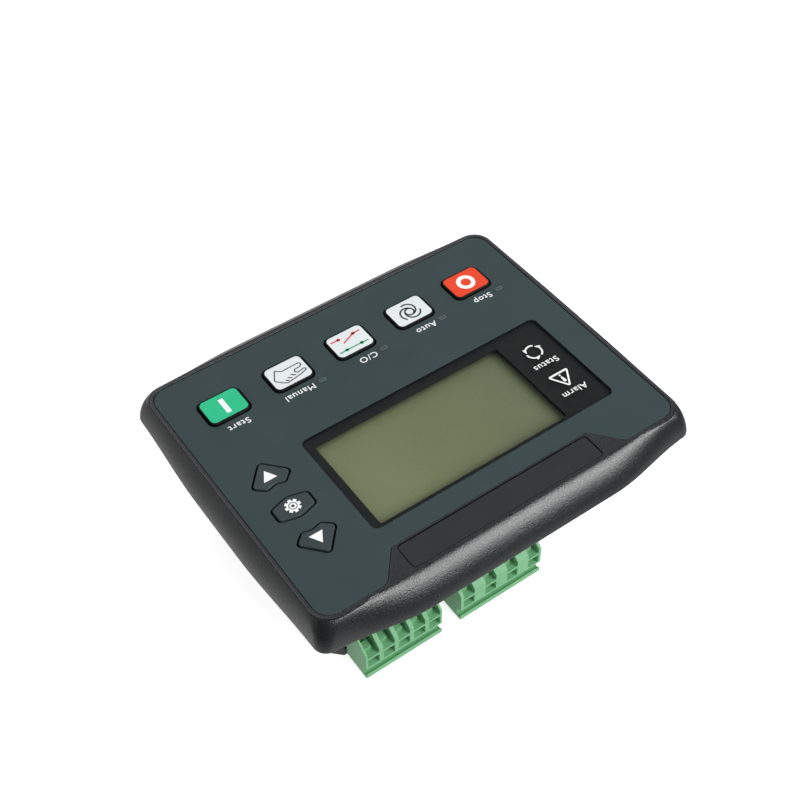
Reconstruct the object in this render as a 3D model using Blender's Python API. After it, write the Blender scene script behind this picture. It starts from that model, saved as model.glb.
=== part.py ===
"""Genset controller: a panel-mounted control unit lying on its back, face up.

Metres, +Z up and out of the face, +Y towards the controller's upper edge, +X to the right as seen
by someone who reads the face. The origin is under the middle of the bezel, at the rear face.
"""

import math

import bmesh
import bpy

MM = 0.001
GAP = 0.3 * MM                      # between pieces that seat on or beside each other

# Bezel
BEZEL_WIDTH = 128.3 * MM
BEZEL_HEIGHT = 107.7 * MM
BEZEL_DEPTH = 9.0 * MM              # face plane to the rear edge
FACE_HEIGHT = 42.0 * MM             # face plane above the rear face
SIDE_BOW = 1.5 * MM                 # how far the left and right edges bulge
END_BOW = 3.85 * MM                 # how far the upper and lower edges bulge
SIDE_SWEEP = (2.0 * MM, 0.358 * BEZEL_HEIGHT)   # where the side bulge starts and is full
END_SWEEP = (2.0 * MM, 0.249 * BEZEL_WIDTH)     # the same along the upper and lower edges
BEZEL_CORNER = 4.0 * MM
ROUND_POWER = 1.52                  # fullness of the rounded side
RIM_WIDTH = 0.85 * MM
RIM_RISE = 0.15 * MM
RIM_CORNER = 6.3 * MM
RIM_BREAK = 0.25 * MM               # small step outside the rim
FRONT_WALL = 1.9 * MM

# Face panel
PANEL_SIDE_MARGIN = 5.15 * MM       # bezel edge to panel edge
PANEL_END_MARGIN = 7.85 * MM
PANEL_THICKNESS = 0.5 * MM
PANEL_CORNER = 4.9 * MM
NOTCH_DEPTH = 8.6 * MM
NOTCH_WIDTH = 0.509 * BEZEL_WIDTH   # at the bottom of the notch
NOTCH_FLARE = 7.1 * MM              # how much further each side of the notch reaches at the edge
NOTCH_INNER_ROUND = 1.2 * MM
NOTCH_OUTER_ROUND = 3.4 * MM
PANEL_HALF = (BEZEL_WIDTH / 2 - PANEL_SIDE_MARGIN, BEZEL_HEIGHT / 2 - PANEL_END_MARGIN)
NOTCH_BOTTOM = PANEL_HALF[1] - NOTCH_DEPTH

# Nameplate
NAMEPLATE_MARGIN = 1.1 * MM         # inside the ends of the notch's bottom
NAMEPLATE_HEIGHT = 7.9 * MM
NAMEPLATE_RISE = 0.9 * MM           # above the bottom of the notch
NAMEPLATE_CORNER = 1.0 * MM
NAMEPLATE_RECESS = 0.75 * MM
NAMEPLATE_THICKNESS = 0.3 * MM
NAMEPLATE_SIZE = (NOTCH_WIDTH - 2 * NAMEPLATE_MARGIN, NAMEPLATE_HEIGHT)
NAMEPLATE_CENTRE = (0.0, NOTCH_BOTTOM + NAMEPLATE_RISE + NAMEPLATE_HEIGHT / 2)

# Display, inside the panel's edges: (left, right), then (lower, upper)
LENS_SIDE_MARGINS = (10.0 * MM, 26.0 * MM)
LENS_END_MARGINS = (39.9 * MM, 15.3 * MM)
LENS_CORNER = 2.0 * MM
LENS_THICKNESS = 1.2 * MM
LENS_SINK = 0.05 * MM               # lens below the face plane
VIEW_SIDE_MARGINS = (15.1 * MM, 2.1 * MM)       # glass that shows, inside the lens
VIEW_END_MARGINS = (1.8 * MM, 1.2 * MM)
FRAME_LIP = 4.4 * MM
FRAME_SHEET = 0.4 * MM
GLASS_THICKNESS = 1.8 * MM


def inside(size, centre, side_margins, end_margins):
    """Size and centre of a rectangle within another one."""
    width = size[0] - side_margins[0] - side_margins[1]
    height = size[1] - end_margins[0] - end_margins[1]
    middle = (centre[0] + (side_margins[0] - side_margins[1]) / 2,
              centre[1] + (end_margins[0] - end_margins[1]) / 2)
    return (width, height), middle


PANEL_SIZE = (2 * PANEL_HALF[0], 2 * PANEL_HALF[1])
LENS_SIZE, LENS_CENTRE = inside(PANEL_SIZE, (0.0, 0.0), LENS_SIDE_MARGINS, LENS_END_MARGINS)
VIEW_SIZE, VIEW_CENTRE = inside(LENS_SIZE, LENS_CENTRE, VIEW_SIDE_MARGINS, VIEW_END_MARGINS)

# Keys
MAIN_KEYS = ("stop_key", "auto_key", "changeover_key", "manual_key", "start_key")
KEY_SIZE = (12.8 * MM, 9.8 * MM)
KEY_CORNER = 1.9 * MM
KEY_MOAT = 0.5 * MM                 # open gap round a key
KEY_END_MARGINS = (16.95 * MM, 15.65 * MM)      # panel edge to the first and last main key
KEY_ROW_MARGIN = 16.3 * MM          # panel's lower edge to the row of main keys
KEY_RISE = 0.65 * MM
KEY_ROUND = 0.45 * MM
KEY_TRAVEL = 0.8 * MM
KEY_FLANGE = 0.6 * MM               # how far a key's flange reaches past its hole
KEY_FLANGE_THICKNESS = 1.0 * MM
PLUNGER_INSET = 2.2 * MM
KEY_PITCH = (PANEL_SIZE[0] - sum(KEY_END_MARGINS)) / (len(MAIN_KEYS) - 1)
KEY_ROW_Y = KEY_ROW_MARGIN - PANEL_HALF[1]
FIRST_KEY_X = KEY_END_MARGINS[0] - PANEL_HALF[0]
NAV_MARGIN = 12.9 * MM              # panel's right edge to the navigation keys
NAV_DROP = 0.65 * MM                # set key below the middle of the lens
NAV_PITCH = 13.0 * MM
NAV_RISE = 0.3 * MM
NAV_CORNER = 0.9 * MM
SET_SIZE = (11.0 * MM, 7.3 * MM)
SET_SHOULDER = 2.1 * MM             # half the length of its upright ends
ARROW_WIDTH = 11.6 * MM
ARROW_TIP = 4.8 * MM                # from the key's place to its tip
ARROW_BASE = 4.3 * MM               # and to the corners of its base
ARROW_HOLLOW = 0.8 * MM             # how far the base curves in
ARROW_BASE_WIDTH = 5.7 * MM
ARROW_SIDE_DROP = 1.7 * MM          # widest points below the key's place
NAV_X = PANEL_HALF[0] - NAV_MARGIN
NAV_Y = LENS_CENTRE[1] - NAV_DROP

# Lamps
KEY_LAMP_SIZE = (2.4 * MM, 1.35 * MM)
KEY_LAMP_OFFSET = (-0.5 * MM - KEY_SIZE[0] / 2, 2.8 * MM + KEY_SIZE[1] / 2)
LENS_LAMP_RADIUS = 1.5 * MM
LENS_LAMP_MARGIN = 8.3 * MM         # lens's left edge to the lamps behind it
LENS_LAMPS = (("alarm_lamp", 0.155), ("status_lamp", -0.198))   # share of the lens's height off its middle

# Rear shell
BODY_INSET = (10.95 * MM, 12.25 * MM)   # bezel edge to the body that passes through the panel
BODY_CORNER = 2.0 * MM
LOWER_CHAMFER = 5.2 * MM            # corners of the body between the terminals
SHELL_WALL = 2.0 * MM
FLANGE_REACH = 4.4 * MM             # flange past the body's long sides
FLANGE_CORNER = 3.0 * MM
FLANGE_THICKNESS = 2.0 * MM
FLANGE_LAND = 1.5 * MM              # how far the flange covers the bezel round its opening
GASKET_INSET = 1.6 * MM             # bezel edge to the groove of the gasket
GASKET_WIDTH = 1.4 * MM
GASKET_THICKNESS = 1.0 * MM
GASKET_SEAT = 0.6 * MM              # depth of its groove
STEP_DEPTH = 6.7 * MM               # body's side to the wall that holds the terminals
SHOULDER_CLEARANCE = 1.1 * MM       # plugs to the shoulder over them
VENT_WIDTH = 1.8 * MM
VENT_COUNT = 9
CLIP_SLOT_LENGTH = 10.0 * MM
BODY_SIZE = (BEZEL_WIDTH - 2 * BODY_INSET[0], BEZEL_HEIGHT - 2 * BODY_INSET[1])
BODY_HALF = (BODY_SIZE[0] / 2, BODY_SIZE[1] / 2)
STEP_Y = BODY_HALF[1] - STEP_DEPTH

# Terminals
FINE_PITCH = 5.08 * MM
WIDE_PITCH = 7.62 * MM
UPPER_RIGHT_POLE_COUNT = 5
UPPER_MIDDLE_POLE_COUNT = 4
LOWER_LEFT_SHARE = 0.555            # of the lower row
UPPER_RIGHT_MARGIN = 5.9 * MM       # body's end to the plug
UPPER_GAP = 6.5 * MM                # between the upper plugs
LOWER_MARGINS = (5.9 * MM, 5.9 * MM)
LOWER_GAP = 4.4 * MM
PLUG_END = 3.8 * MM                 # both end margins of a plug together
PLUG_END_SHARE = 0.25               # and the share of its pitch that is added to them
PLUG_FRONT = 10.3 * MM              # how far a plug stands out of the case
PLUG_BOTTOM = 0.8 * MM
PLUG_HEIGHT = 15.1 * MM
PLUG_TONGUE = 8.7 * MM              # how far it reaches into its header
HEADER_WALL = 1.2 * MM
HEADER_DEPTH = 10.6 * MM
HEADER_BOTTOM = 3.2 * MM
HEADER_HEIGHT = 11.2 * MM
WIRE_HOLE = (3.6 * MM, 4.8 * MM, 6.0 * MM)
WIRE_HOLE_BOTTOM = 5.6 * MM         # above the plug's bottom
SCREW_WELL = (1.8 * MM, 3.2 * MM)
PIN_SIZE = 1.0 * MM
SOCKET_SIZE = 1.8 * MM
STEP_HEIGHT = PLUG_BOTTOM + PLUG_HEIGHT + SHOULDER_CLEARANCE

# Boards
BOARD_THICKNESS = 1.6 * MM
BOARD_TO_FLANGE = 0.7 * MM
DISPLAY_BOARD_MARGINS = (0.5 * MM, 1.5 * MM)    # to the case screw bosses and the opening's long sides
MAT_THICKNESS = 1.2 * MM
MAT_MARGIN = 3.0 * MM
MAT_LOWER_MARGIN = 1.2 * MM
BOSS_RADIUS = 2.4 * MM
PILOT_RADIUS = 1.25 * MM
UPPER_BOSS_CLEARANCE = 0.5 * MM     # over the display frame
LOWER_BOSS_DROP = 2.3 * MM          # below the row of main keys
CASE_SCREW_OFFSET = 2.7 * MM        # outside the body
CASE_SCREW_EDGE = 0.5 * MM          # its recess to the flange's edge
MAIN_SCREW_INSET = (7.2 * MM, 16.9 * MM)        # inside the body's end and the terminals' wall
SCREW_HEAD = (1.9 * MM, 1.1 * MM)
SCREW_SHANK = (1.0 * MM, 5.5 * MM)
FRAME_HALF = (VIEW_SIZE[0] / 2 + FRAME_LIP, VIEW_SIZE[1] / 2 + FRAME_LIP)
UPPER_BOSS_Y = VIEW_CENTRE[1] + FRAME_HALF[1] + BOSS_RADIUS + UPPER_BOSS_CLEARANCE
BOARD_SCREW_SPOTS = (
    (VIEW_CENTRE[0] + FRAME_HALF[0] - BOSS_RADIUS, UPPER_BOSS_Y),
    (VIEW_CENTRE[0] - FRAME_HALF[0] + BOSS_RADIUS, UPPER_BOSS_Y),
    (FIRST_KEY_X + (len(MAIN_KEYS) - 1.5) * KEY_PITCH, KEY_ROW_Y - LOWER_BOSS_DROP),
    (FIRST_KEY_X + 0.5 * KEY_PITCH, KEY_ROW_Y - LOWER_BOSS_DROP),
)
CASE_SCREW_SPOT = (BODY_HALF[0] + CASE_SCREW_OFFSET, 0.223 * BEZEL_HEIGHT)
FLANGE_HALF = (CASE_SCREW_SPOT[0] + SCREW_HEAD[0] + GAP + CASE_SCREW_EDGE, BODY_HALF[1] + FLANGE_REACH)
DISPLAY_BOARD_SIZE = (2 * (CASE_SCREW_SPOT[0] - BOSS_RADIUS - DISPLAY_BOARD_MARGINS[0]),
                      2 * (FLANGE_HALF[1] - FLANGE_LAND - DISPLAY_BOARD_MARGINS[1]))
MAIN_SCREW_SPOT = (BODY_HALF[0] - MAIN_SCREW_INSET[0], STEP_Y - MAIN_SCREW_INSET[1])
MAIN_BOARD_HALF = (BODY_HALF[0] - SHELL_WALL - GAP, STEP_Y - SHELL_WALL - GAP)

# Heights that follow from the sizes above
PANEL_BOTTOM = FACE_HEIGHT - PANEL_THICKNESS
WALL_TOP = PANEL_BOTTOM - GAP
WALL_BOTTOM = WALL_TOP - FRONT_WALL
RIM_TOP = FACE_HEIGHT + RIM_RISE
BEZEL_BOTTOM = FACE_HEIGHT - BEZEL_DEPTH
FLANGE_TOP = BEZEL_BOTTOM - GAP
FLANGE_BOTTOM = FLANGE_TOP - FLANGE_THICKNESS
BOARD_BOTTOM = FLANGE_TOP + BOARD_TO_FLANGE
BOARD_TOP = BOARD_BOTTOM + BOARD_THICKNESS
LENS_TOP = FACE_HEIGHT - LENS_SINK
LENS_BOTTOM = LENS_TOP - LENS_THICKNESS
FRAME_TOP = WALL_BOTTOM - GAP
GLASS_TOP = FRAME_TOP - FRAME_SHEET - GAP
GLASS_BOTTOM = GLASS_TOP - GLASS_THICKNESS
HEADER_TOP = HEADER_BOTTOM + HEADER_HEIGHT
MAIN_BOARD_BOTTOM = HEADER_TOP + GAP
MAIN_BOARD_TOP = MAIN_BOARD_BOTTOM + BOARD_THICKNESS
BOARD_SPACE = BOARD_BOTTOM - MAIN_BOARD_TOP
KEY_BOTTOM = BOARD_TOP + GAP + KEY_TRAVEL
RIM_HALF = tuple(half + GAP + RIM_WIDTH for half in PANEL_HALF)
OUTER_HALF = (BEZEL_WIDTH / 2 - SIDE_BOW, BEZEL_HEIGHT / 2 - END_BOW)

# Parts on the boards: places as shares of the main board's halves, heights as shares of the space
RELAY_SIZE = (10.2 * MM, 20.5 * MM, 0.71 * BOARD_SPACE)
RELAY_COUNT = 5
RELAY_ROW = (-0.70, -0.37)
RELAY_STEP = 0.26
CAPACITOR_SIZE = (5.0 * MM, 0.84 * BOARD_SPACE)
CAPACITOR_SPOTS = ((0.668, -0.49), (0.668, -0.06))
INDUCTOR_SIZE = (6.5 * MM, 0.58 * BOARD_SPACE)
INDUCTOR_SPOT = (0.668, 0.44)
TRANSFORMER_SIZE = (12.0 * MM, 8.0 * MM, 0.71 * BOARD_SPACE)
TRANSFORMER_SPOTS = ((-0.66, 0.60), (-0.35, 0.60), (-0.04, 0.60))
TRANSFORMER_BORE = 1.6 * MM
PROCESSOR_SIZE = (14.0 * MM, 14.0 * MM, 1.3 * MM)
PROCESSOR_SPOT = (-0.3, 0.6)
STACK_HEADER_SIZE = (26.0 * MM, 5.0 * MM)
STACK_HEADER_SPOT = (0.236, 0.26)

SMALLEST_ROUND = 0.4 * MM
CORNER_STEPS = 4
KEY_STEPS = 3
SWEEP_STEPS = 8
SIDE_RINGS = 6


def clear_scene():
    for item in list(bpy.data.objects):
        bpy.data.objects.remove(item, do_unlink=True)


# Outlines: lists of (x, y), counter-clockwise

def arc(centre, radius, start, sweep, steps=CORNER_STEPS):
    """Points on an arc, angles in degrees."""
    angles = [math.radians(start + sweep * step / steps) for step in range(steps + 1)]
    return [(centre[0] + radius * math.cos(a), centre[1] + radius * math.sin(a)) for a in angles]


def circle(radius, centre=(0.0, 0.0), steps=12):
    return arc(centre, radius, 0, 360, steps)[:-1]


def rectangle(size, centre=(0.0, 0.0)):
    half_x, half_y = size[0] / 2, size[1] / 2
    return [(centre[0] + x * half_x, centre[1] + y * half_y)
            for x, y in ((-1, -1), (1, -1), (1, 1), (-1, 1))]


def rounded_rectangle(size, radius, centre=(0.0, 0.0), steps=CORNER_STEPS):
    half_x, half_y = size[0] / 2 - radius, size[1] / 2 - radius
    points = []
    for start, x, y in ((0, 1, 1), (90, -1, 1), (180, -1, -1), (270, 1, -1)):
        corner = (centre[0] + x * half_x, centre[1] + y * half_y)
        points += arc(corner, radius, start, 90, steps)
    return points


def smooth_step(value):
    value = min(max(value, 0.0), 1.0)
    return value * value * (3 - 2 * value)


def bowed_outline(half_x, half_y, corner, bow_x, bow_y):
    """A rounded rectangle whose four sides bulge outwards in the middle."""
    def rise(distance, sweep):
        return smooth_step((distance - sweep[0]) / (sweep[1] - sweep[0]))

    points = []
    for quarter in range(4):
        sign_x, sign_y = ((1, 1), (-1, 1), (-1, -1), (1, -1))[quarter]
        centre = (sign_x * (half_x - corner), sign_y * (half_y - corner))
        points += arc(centre, corner, 90 * quarter, 90)
        for step in range(1, SWEEP_STEPS):
            along = 1 - 2 * step / SWEEP_STEPS
            if quarter % 2 == 0:
                x = sign_x * along * (half_x - corner)
                lift = bow_y * rise(half_x - abs(x), END_SWEEP)
                points.append((x, sign_y * (half_y + lift)))
            else:
                y = sign_y * along * (half_y - corner)
                lift = bow_x * rise(half_y - abs(y), SIDE_SWEEP)
                points.append((sign_x * (half_x + lift), y))
    return points


def bezel_outline(spread, inset=0.0):
    """The bezel's plan outline: spread 0 at the rim, 1 at the rear edge, moved in by inset."""
    def mix(rim, outer):
        return rim + (outer - rim) * spread

    corner = max(mix(RIM_CORNER, BEZEL_CORNER) - inset, 0.8 * MM)
    return bowed_outline(mix(RIM_HALF[0], OUTER_HALF[0]) - inset, mix(RIM_HALF[1], OUTER_HALF[1]) - inset,
                         corner, SIDE_BOW * spread, END_BOW * spread)


def bezel_round(spread):
    """Depth below the shoulder, as a share of the side's height, where the side reaches spread."""
    return 1 - (1 - spread ** ROUND_POWER) ** (1 / ROUND_POWER)


def offset_outline(points, distance):
    """Each straight side moved outwards by distance."""
    moved = []
    for index, point in enumerate(points):
        before, after = points[index - 1], points[(index + 1) % len(points)]
        normals = []
        for start, end in ((before, point), (point, after)):
            length = math.dist(start, end)
            normals.append(((end[1] - start[1]) / length, (start[0] - end[0]) / length))
        (ax, ay), (bx, by) = normals
        share = distance / (1 + ax * bx + ay * by)
        moved.append((point[0] + (ax + bx) * share, point[1] + (ay + by) * share))
    return moved


def rounded_polygon(corners, radii, steps=CORNER_STEPS):
    """A polygon with each corner replaced by a tangent arc."""
    points = []
    for index, corner in enumerate(corners):
        before, after, radius = corners[index - 1], corners[(index + 1) % len(corners)], radii[index]
        to_before = math.atan2(before[1] - corner[1], before[0] - corner[0])
        to_after = math.atan2(after[1] - corner[1], after[0] - corner[0])
        turn = (to_before - to_after + math.pi) % (2 * math.pi) - math.pi
        half = abs(turn) / 2
        middle = to_after + turn / 2
        reach = radius / math.sin(half)
        centre = (corner[0] + reach * math.cos(middle), corner[1] + reach * math.sin(middle))
        sweep = math.degrees(math.pi - abs(turn))
        if turn > 0:
            start = math.degrees(to_before) + 90
            points += arc(centre, radius, start, sweep, steps)
        else:
            start = math.degrees(to_before) - 90
            points += arc(centre, radius, start, -sweep, steps)
    return points


def panel_outline(grow=0.0):
    """The face panel with its notch for the brow."""
    half_x, half_y = PANEL_HALF
    low, high = NOTCH_WIDTH / 2, NOTCH_WIDTH / 2 + NOTCH_FLARE
    corners = [(-half_x, -half_y), (half_x, -half_y), (half_x, half_y), (high, half_y),
               (low, NOTCH_BOTTOM), (-low, NOTCH_BOTTOM), (-high, half_y), (-half_x, half_y)]
    outer, inner, edge = PANEL_CORNER + grow, NOTCH_INNER_ROUND - grow, NOTCH_OUTER_ROUND + grow
    radii = [outer, outer, outer, edge, inner, inner, edge, outer]
    return rounded_polygon(offset_outline(corners, grow), radii)


def arrow_key_outline(sign, grow=0.0):
    """A key that points up for sign 1 and down for -1, with a base that curves in."""
    half, base = ARROW_WIDTH / 2, ARROW_BASE_WIDTH / 2
    corners = [(-base, -ARROW_BASE), (0.0, ARROW_HOLLOW - ARROW_BASE), (base, -ARROW_BASE),
               (half, -ARROW_SIDE_DROP), (0.0, ARROW_TIP), (-half, -ARROW_SIDE_DROP)]
    if sign < 0:
        corners = [(-x, -y) for x, y in corners]
    corner = max(NAV_CORNER + grow, SMALLEST_ROUND)
    hollow = max(4 * NAV_CORNER - grow, SMALLEST_ROUND)
    radii = [corner, hollow, corner, corner, corner, corner]
    return rounded_polygon(offset_outline(corners, grow), radii, KEY_STEPS)


def up_key_outline(grow=0.0):
    return arrow_key_outline(1, grow)


def down_key_outline(grow=0.0):
    return arrow_key_outline(-1, grow)


def set_key_outline(grow=0.0):
    """A barrel-shaped key with upright ends."""
    width, height = SET_SIZE[0] / 2, SET_SIZE[1] / 2
    corners = [(-width, -SET_SHOULDER), (0.0, -height), (width, -SET_SHOULDER),
               (width, SET_SHOULDER), (0.0, height), (-width, SET_SHOULDER)]
    corner = max(NAV_CORNER + grow, SMALLEST_ROUND)
    tip = 4 * corner
    return rounded_polygon(offset_outline(corners, grow), [corner, tip, corner] * 2, KEY_STEPS)


def moved_outline(points, by):
    return [(x + by[0], y + by[1]) for x, y in points]


# Solids

def level(outline, height):
    return [(x, y, height) for x, y in outline]


def prism(outline, bottom, top):
    """Rings of an upright solid with this outline."""
    return [level(outline, bottom), level(outline, top)]


def prism_x(profile, start, end):
    """Rings of a solid with a (y, z) profile, running along X."""
    return [[(x, y, z) for y, z in profile] for x in (start, end)]


def box(size, centre, bottom, top):
    return prism(rectangle(size, centre), bottom, top)


def turned(profile, centre=(0.0, 0.0), steps=12):
    """Rings of a solid of revolution about Z: profile is (radius, height) from bottom to top."""
    return [level(circle(radius, centre, steps), height) for radius, height in profile]


def round_bars(spots, radius, bottom, top, steps=8):
    return [turned([(radius, bottom), (radius, top)], spot, steps) for spot in spots]


def add_rings(mesh, rings):
    """Skins a stack of rings, all with the same number of points, and closes both ends."""
    rows = [[mesh.verts.new(point) for point in ring] for ring in rings]
    count = len(rows[0])
    for lower, upper in zip(rows, rows[1:]):
        for index in range(count):
            after = (index + 1) % count
            mesh.faces.new((lower[index], lower[after], upper[after], upper[index]))
    mesh.faces.new(reversed(rows[0]))
    mesh.faces.new(rows[-1])


def add_frame(mesh, outer, inner, bottom, top):
    """A closed band between two outlines with the same number of points."""
    rows = [[mesh.verts.new(point) for point in level(outline, height)]
            for outline, height in ((outer, bottom), (outer, top), (inner, top), (inner, bottom))]
    count = len(outer)
    for first, second in zip(rows, rows[1:] + rows[:1]):
        for index in range(count):
            after = (index + 1) % count
            mesh.faces.new((first[index], first[after], second[after], second[index]))


def solid(name, shapes, material, location=(0.0, 0.0, 0.0), frames=()):
    """One object out of stacks of rings and bands."""
    mesh = bmesh.new()
    for rings in shapes:
        add_rings(mesh, rings)
    for band in frames:
        add_frame(mesh, *band)
    data = bpy.data.meshes.new(name)
    mesh.to_mesh(data)
    mesh.free()
    item = bpy.data.objects.new(name, data)
    item.location = location
    bpy.context.collection.objects.link(item)
    if material:
        data.materials.append(material)
    return item


def combine(target, shapes, operation, frames=()):
    """Cuts shapes out of target, or joins them to it, and keeps the result as its mesh."""
    tool = solid(target.name + "_tool", shapes, None, target.location, frames)
    modifier = target.modifiers.new(operation.title(), "BOOLEAN")
    modifier.operation = operation
    modifier.solver = "EXACT"
    modifier.object = tool
    bpy.context.view_layer.update()
    graph = bpy.context.evaluated_depsgraph_get()
    result = bpy.data.meshes.new_from_object(target.evaluated_get(graph))
    target.modifiers.clear()
    old = target.data
    target.data = result
    result.name = target.name
    bpy.data.meshes.remove(old)
    tool_data = tool.data
    bpy.data.objects.remove(tool, do_unlink=True)
    bpy.data.meshes.remove(tool_data)


def carve(target, shapes, frames=()):
    combine(target, shapes, "DIFFERENCE", frames)


def join(target, shapes):
    combine(target, shapes, "UNION")


def shade_round(item, angle=35):
    item.data.shade_smooth()
    item.data.set_sharp_from_angle(angle=math.radians(angle))


def twin(name, source, location):
    """Another object with the same mesh."""
    item = bpy.data.objects.new(name, source.data)
    item.location = location
    bpy.context.collection.objects.link(item)
    return item


def make_material(name, colour, roughness, metallic=0.0, alpha=1.0):
    material = bpy.data.materials.new(name)
    material.use_nodes = True
    shader = material.node_tree.nodes["Principled BSDF"]
    shader.inputs["Base Color"].default_value = (*colour, 1.0)
    shader.inputs["Roughness"].default_value = roughness
    shader.inputs["Metallic"].default_value = metallic
    shader.inputs["Alpha"].default_value = alpha
    return material


# Places of the keys and lamps

def main_key_centres():
    return {name: (FIRST_KEY_X + index * KEY_PITCH, KEY_ROW_Y) for index, name in enumerate(MAIN_KEYS)}


def lens_lamp_centres():
    x = LENS_CENTRE[0] - LENS_SIZE[0] / 2 + LENS_LAMP_MARGIN
    return {name: (x, LENS_CENTRE[1] + share * LENS_SIZE[1]) for name, share in LENS_LAMPS}


def nav_keys():
    """Name to centre and outline rule of the three navigation keys."""
    return {
        "up_key": ((NAV_X, NAV_Y + NAV_PITCH), up_key_outline),
        "set_key": ((NAV_X, NAV_Y), set_key_outline),
        "down_key": ((NAV_X, NAV_Y - NAV_PITCH), down_key_outline),
    }


def key_lamp_centres():
    """The start key has no lamp."""
    return {name.replace("_key", "_lamp"): (x + KEY_LAMP_OFFSET[0], y + KEY_LAMP_OFFSET[1])
            for name, (x, y) in main_key_centres().items() if name != "start_key"}


def main_key_outline(grow=0.0):
    size = [side + 2 * grow for side in KEY_SIZE]
    return rounded_rectangle(size, max(KEY_CORNER + grow, SMALLEST_ROUND), steps=KEY_STEPS)


def key_shapes():
    """Name, centre and outline rule of every key."""
    shapes = [(name, centre, main_key_outline) for name, centre in main_key_centres().items()]
    return shapes + [(name, centre, outline) for name, (centre, outline) in nav_keys().items()]


def key_openings(bottom, top, grow=KEY_MOAT):
    return [prism(moved_outline(outline(grow), centre), bottom, top) for _, centre, outline in key_shapes()]


def lamp_openings(bottom, top):
    size = tuple(side + 2 * GAP for side in KEY_LAMP_SIZE)
    return [box(size, centre, bottom, top) for centre in key_lamp_centres().values()]


def lens_pocket():
    return rounded_rectangle([side + 2 * GAP for side in LENS_SIZE], LENS_CORNER + GAP, LENS_CENTRE)


def mirrored_spots(spot):
    return [(x * spot[0], y * spot[1]) for x, y in ((1, 1), (-1, 1), (-1, -1), (1, -1))]


# Front

def front_bezel(material):
    shoulder = RIM_TOP - RIM_BREAK
    side = shoulder - BEZEL_BOTTOM
    spreads = [math.sin(math.radians(90 * ring / SIDE_RINGS)) ** (2 / ROUND_POWER)
               for ring in range(SIDE_RINGS, -1, -1)]
    rings = [level(bezel_outline(spread), shoulder - side * bezel_round(spread)) for spread in spreads]
    rings.append(level(bezel_outline(0.0, RIM_BREAK), RIM_TOP))
    bezel = solid("front_bezel", [rings], material)

    groove = (bezel_outline(1.0, GASKET_INSET),
              bezel_outline(1.0, GASKET_INSET + GASKET_WIDTH + 2 * GAP),
              BEZEL_BOTTOM - 1 * MM, BEZEL_BOTTOM + GASKET_SEAT)
    carve(bezel, [prism(flange_outline(-FLANGE_LAND), BEZEL_BOTTOM - 5 * MM, WALL_BOTTOM)], [groove])
    root = WALL_BOTTOM + FRONT_WALL / 2
    bosses = round_bars(BOARD_SCREW_SPOTS, BOSS_RADIUS, BOARD_TOP + GAP, root, 12)
    bosses += round_bars(mirrored_spots(CASE_SCREW_SPOT), BOSS_RADIUS, FLANGE_TOP + 2 * GAP, root, 12)
    join(bezel, bosses)

    above = RIM_TOP + 3 * MM
    carve(bezel, [prism(panel_outline(GAP), WALL_TOP, above)])
    plate_pocket = [side + 2 * GAP for side in NAMEPLATE_SIZE]
    cuts = [prism(lens_pocket(), LENS_BOTTOM - GAP, above),
            prism(rounded_rectangle(plate_pocket, NAMEPLATE_CORNER, NAMEPLATE_CENTRE),
                  RIM_TOP - NAMEPLATE_RECESS, above)]
    cuts += key_openings(WALL_BOTTOM - 1 * MM, above) + lamp_openings(WALL_BOTTOM - 1 * MM, above)
    carve(bezel, cuts)

    pilot_top = WALL_BOTTOM + 0.2 * MM
    cuts = [prism(rounded_rectangle([side + 2 * MM for side in VIEW_SIZE], 1 * MM, VIEW_CENTRE),
                  WALL_BOTTOM - 1 * MM, LENS_BOTTOM + 1 * MM)]
    cuts += round_bars(lens_lamp_centres().values(), LENS_LAMP_RADIUS + GAP,
                       WALL_BOTTOM - 1 * MM, LENS_BOTTOM, 12)
    cuts += round_bars([*BOARD_SCREW_SPOTS, *mirrored_spots(CASE_SCREW_SPOT)], PILOT_RADIUS,
                       FLANGE_TOP - 1 * MM, pilot_top)
    carve(bezel, cuts)
    shade_round(bezel)


def face_panel(material):
    panel = solid("face_panel", [prism(panel_outline(), PANEL_BOTTOM, FACE_HEIGHT)], material)
    below, above = PANEL_BOTTOM - 2 * MM, FACE_HEIGHT + 2 * MM
    carve(panel, [prism(lens_pocket(), below, above)] + key_openings(below, above)
          + lamp_openings(below, above))


def nameplate(material):
    bottom = RIM_TOP - NAMEPLATE_RECESS + GAP
    outline = rounded_rectangle(NAMEPLATE_SIZE, NAMEPLATE_CORNER - GAP, NAMEPLATE_CENTRE)
    solid("nameplate", [prism(outline, bottom, bottom + NAMEPLATE_THICKNESS)], material)


def display_lens(material):
    outline = rounded_rectangle(LENS_SIZE, LENS_CORNER, LENS_CENTRE)
    solid("display_lens", [prism(outline, LENS_BOTTOM, LENS_TOP)], material)


def display_stack(metal, glass, light):
    """Sheet frame over the display glass and its backlight."""
    outer = [2 * half for half in FRAME_HALF]
    inner = [side - 2 * FRAME_SHEET for side in outer]
    view = rounded_rectangle(VIEW_SIZE, 0.5 * MM, VIEW_CENTRE)
    frame = solid("display_frame", [box(outer, VIEW_CENTRE, BOARD_TOP + GAP, FRAME_TOP)], metal)
    carve(frame, [box(inner, VIEW_CENTRE, BOARD_TOP - 1 * MM, FRAME_TOP - FRAME_SHEET)])
    carve(frame, [prism(view, GLASS_BOTTOM, FRAME_TOP + 1 * MM)])
    held = [side - 2 * GAP for side in inner]
    solid("display_glass", [box(held, VIEW_CENTRE, GLASS_BOTTOM, GLASS_TOP)], glass)
    solid("display_backlight", [box(held, VIEW_CENTRE, BOARD_TOP + GAP, GLASS_BOTTOM - GAP)], light)


# Keys and lamps

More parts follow.
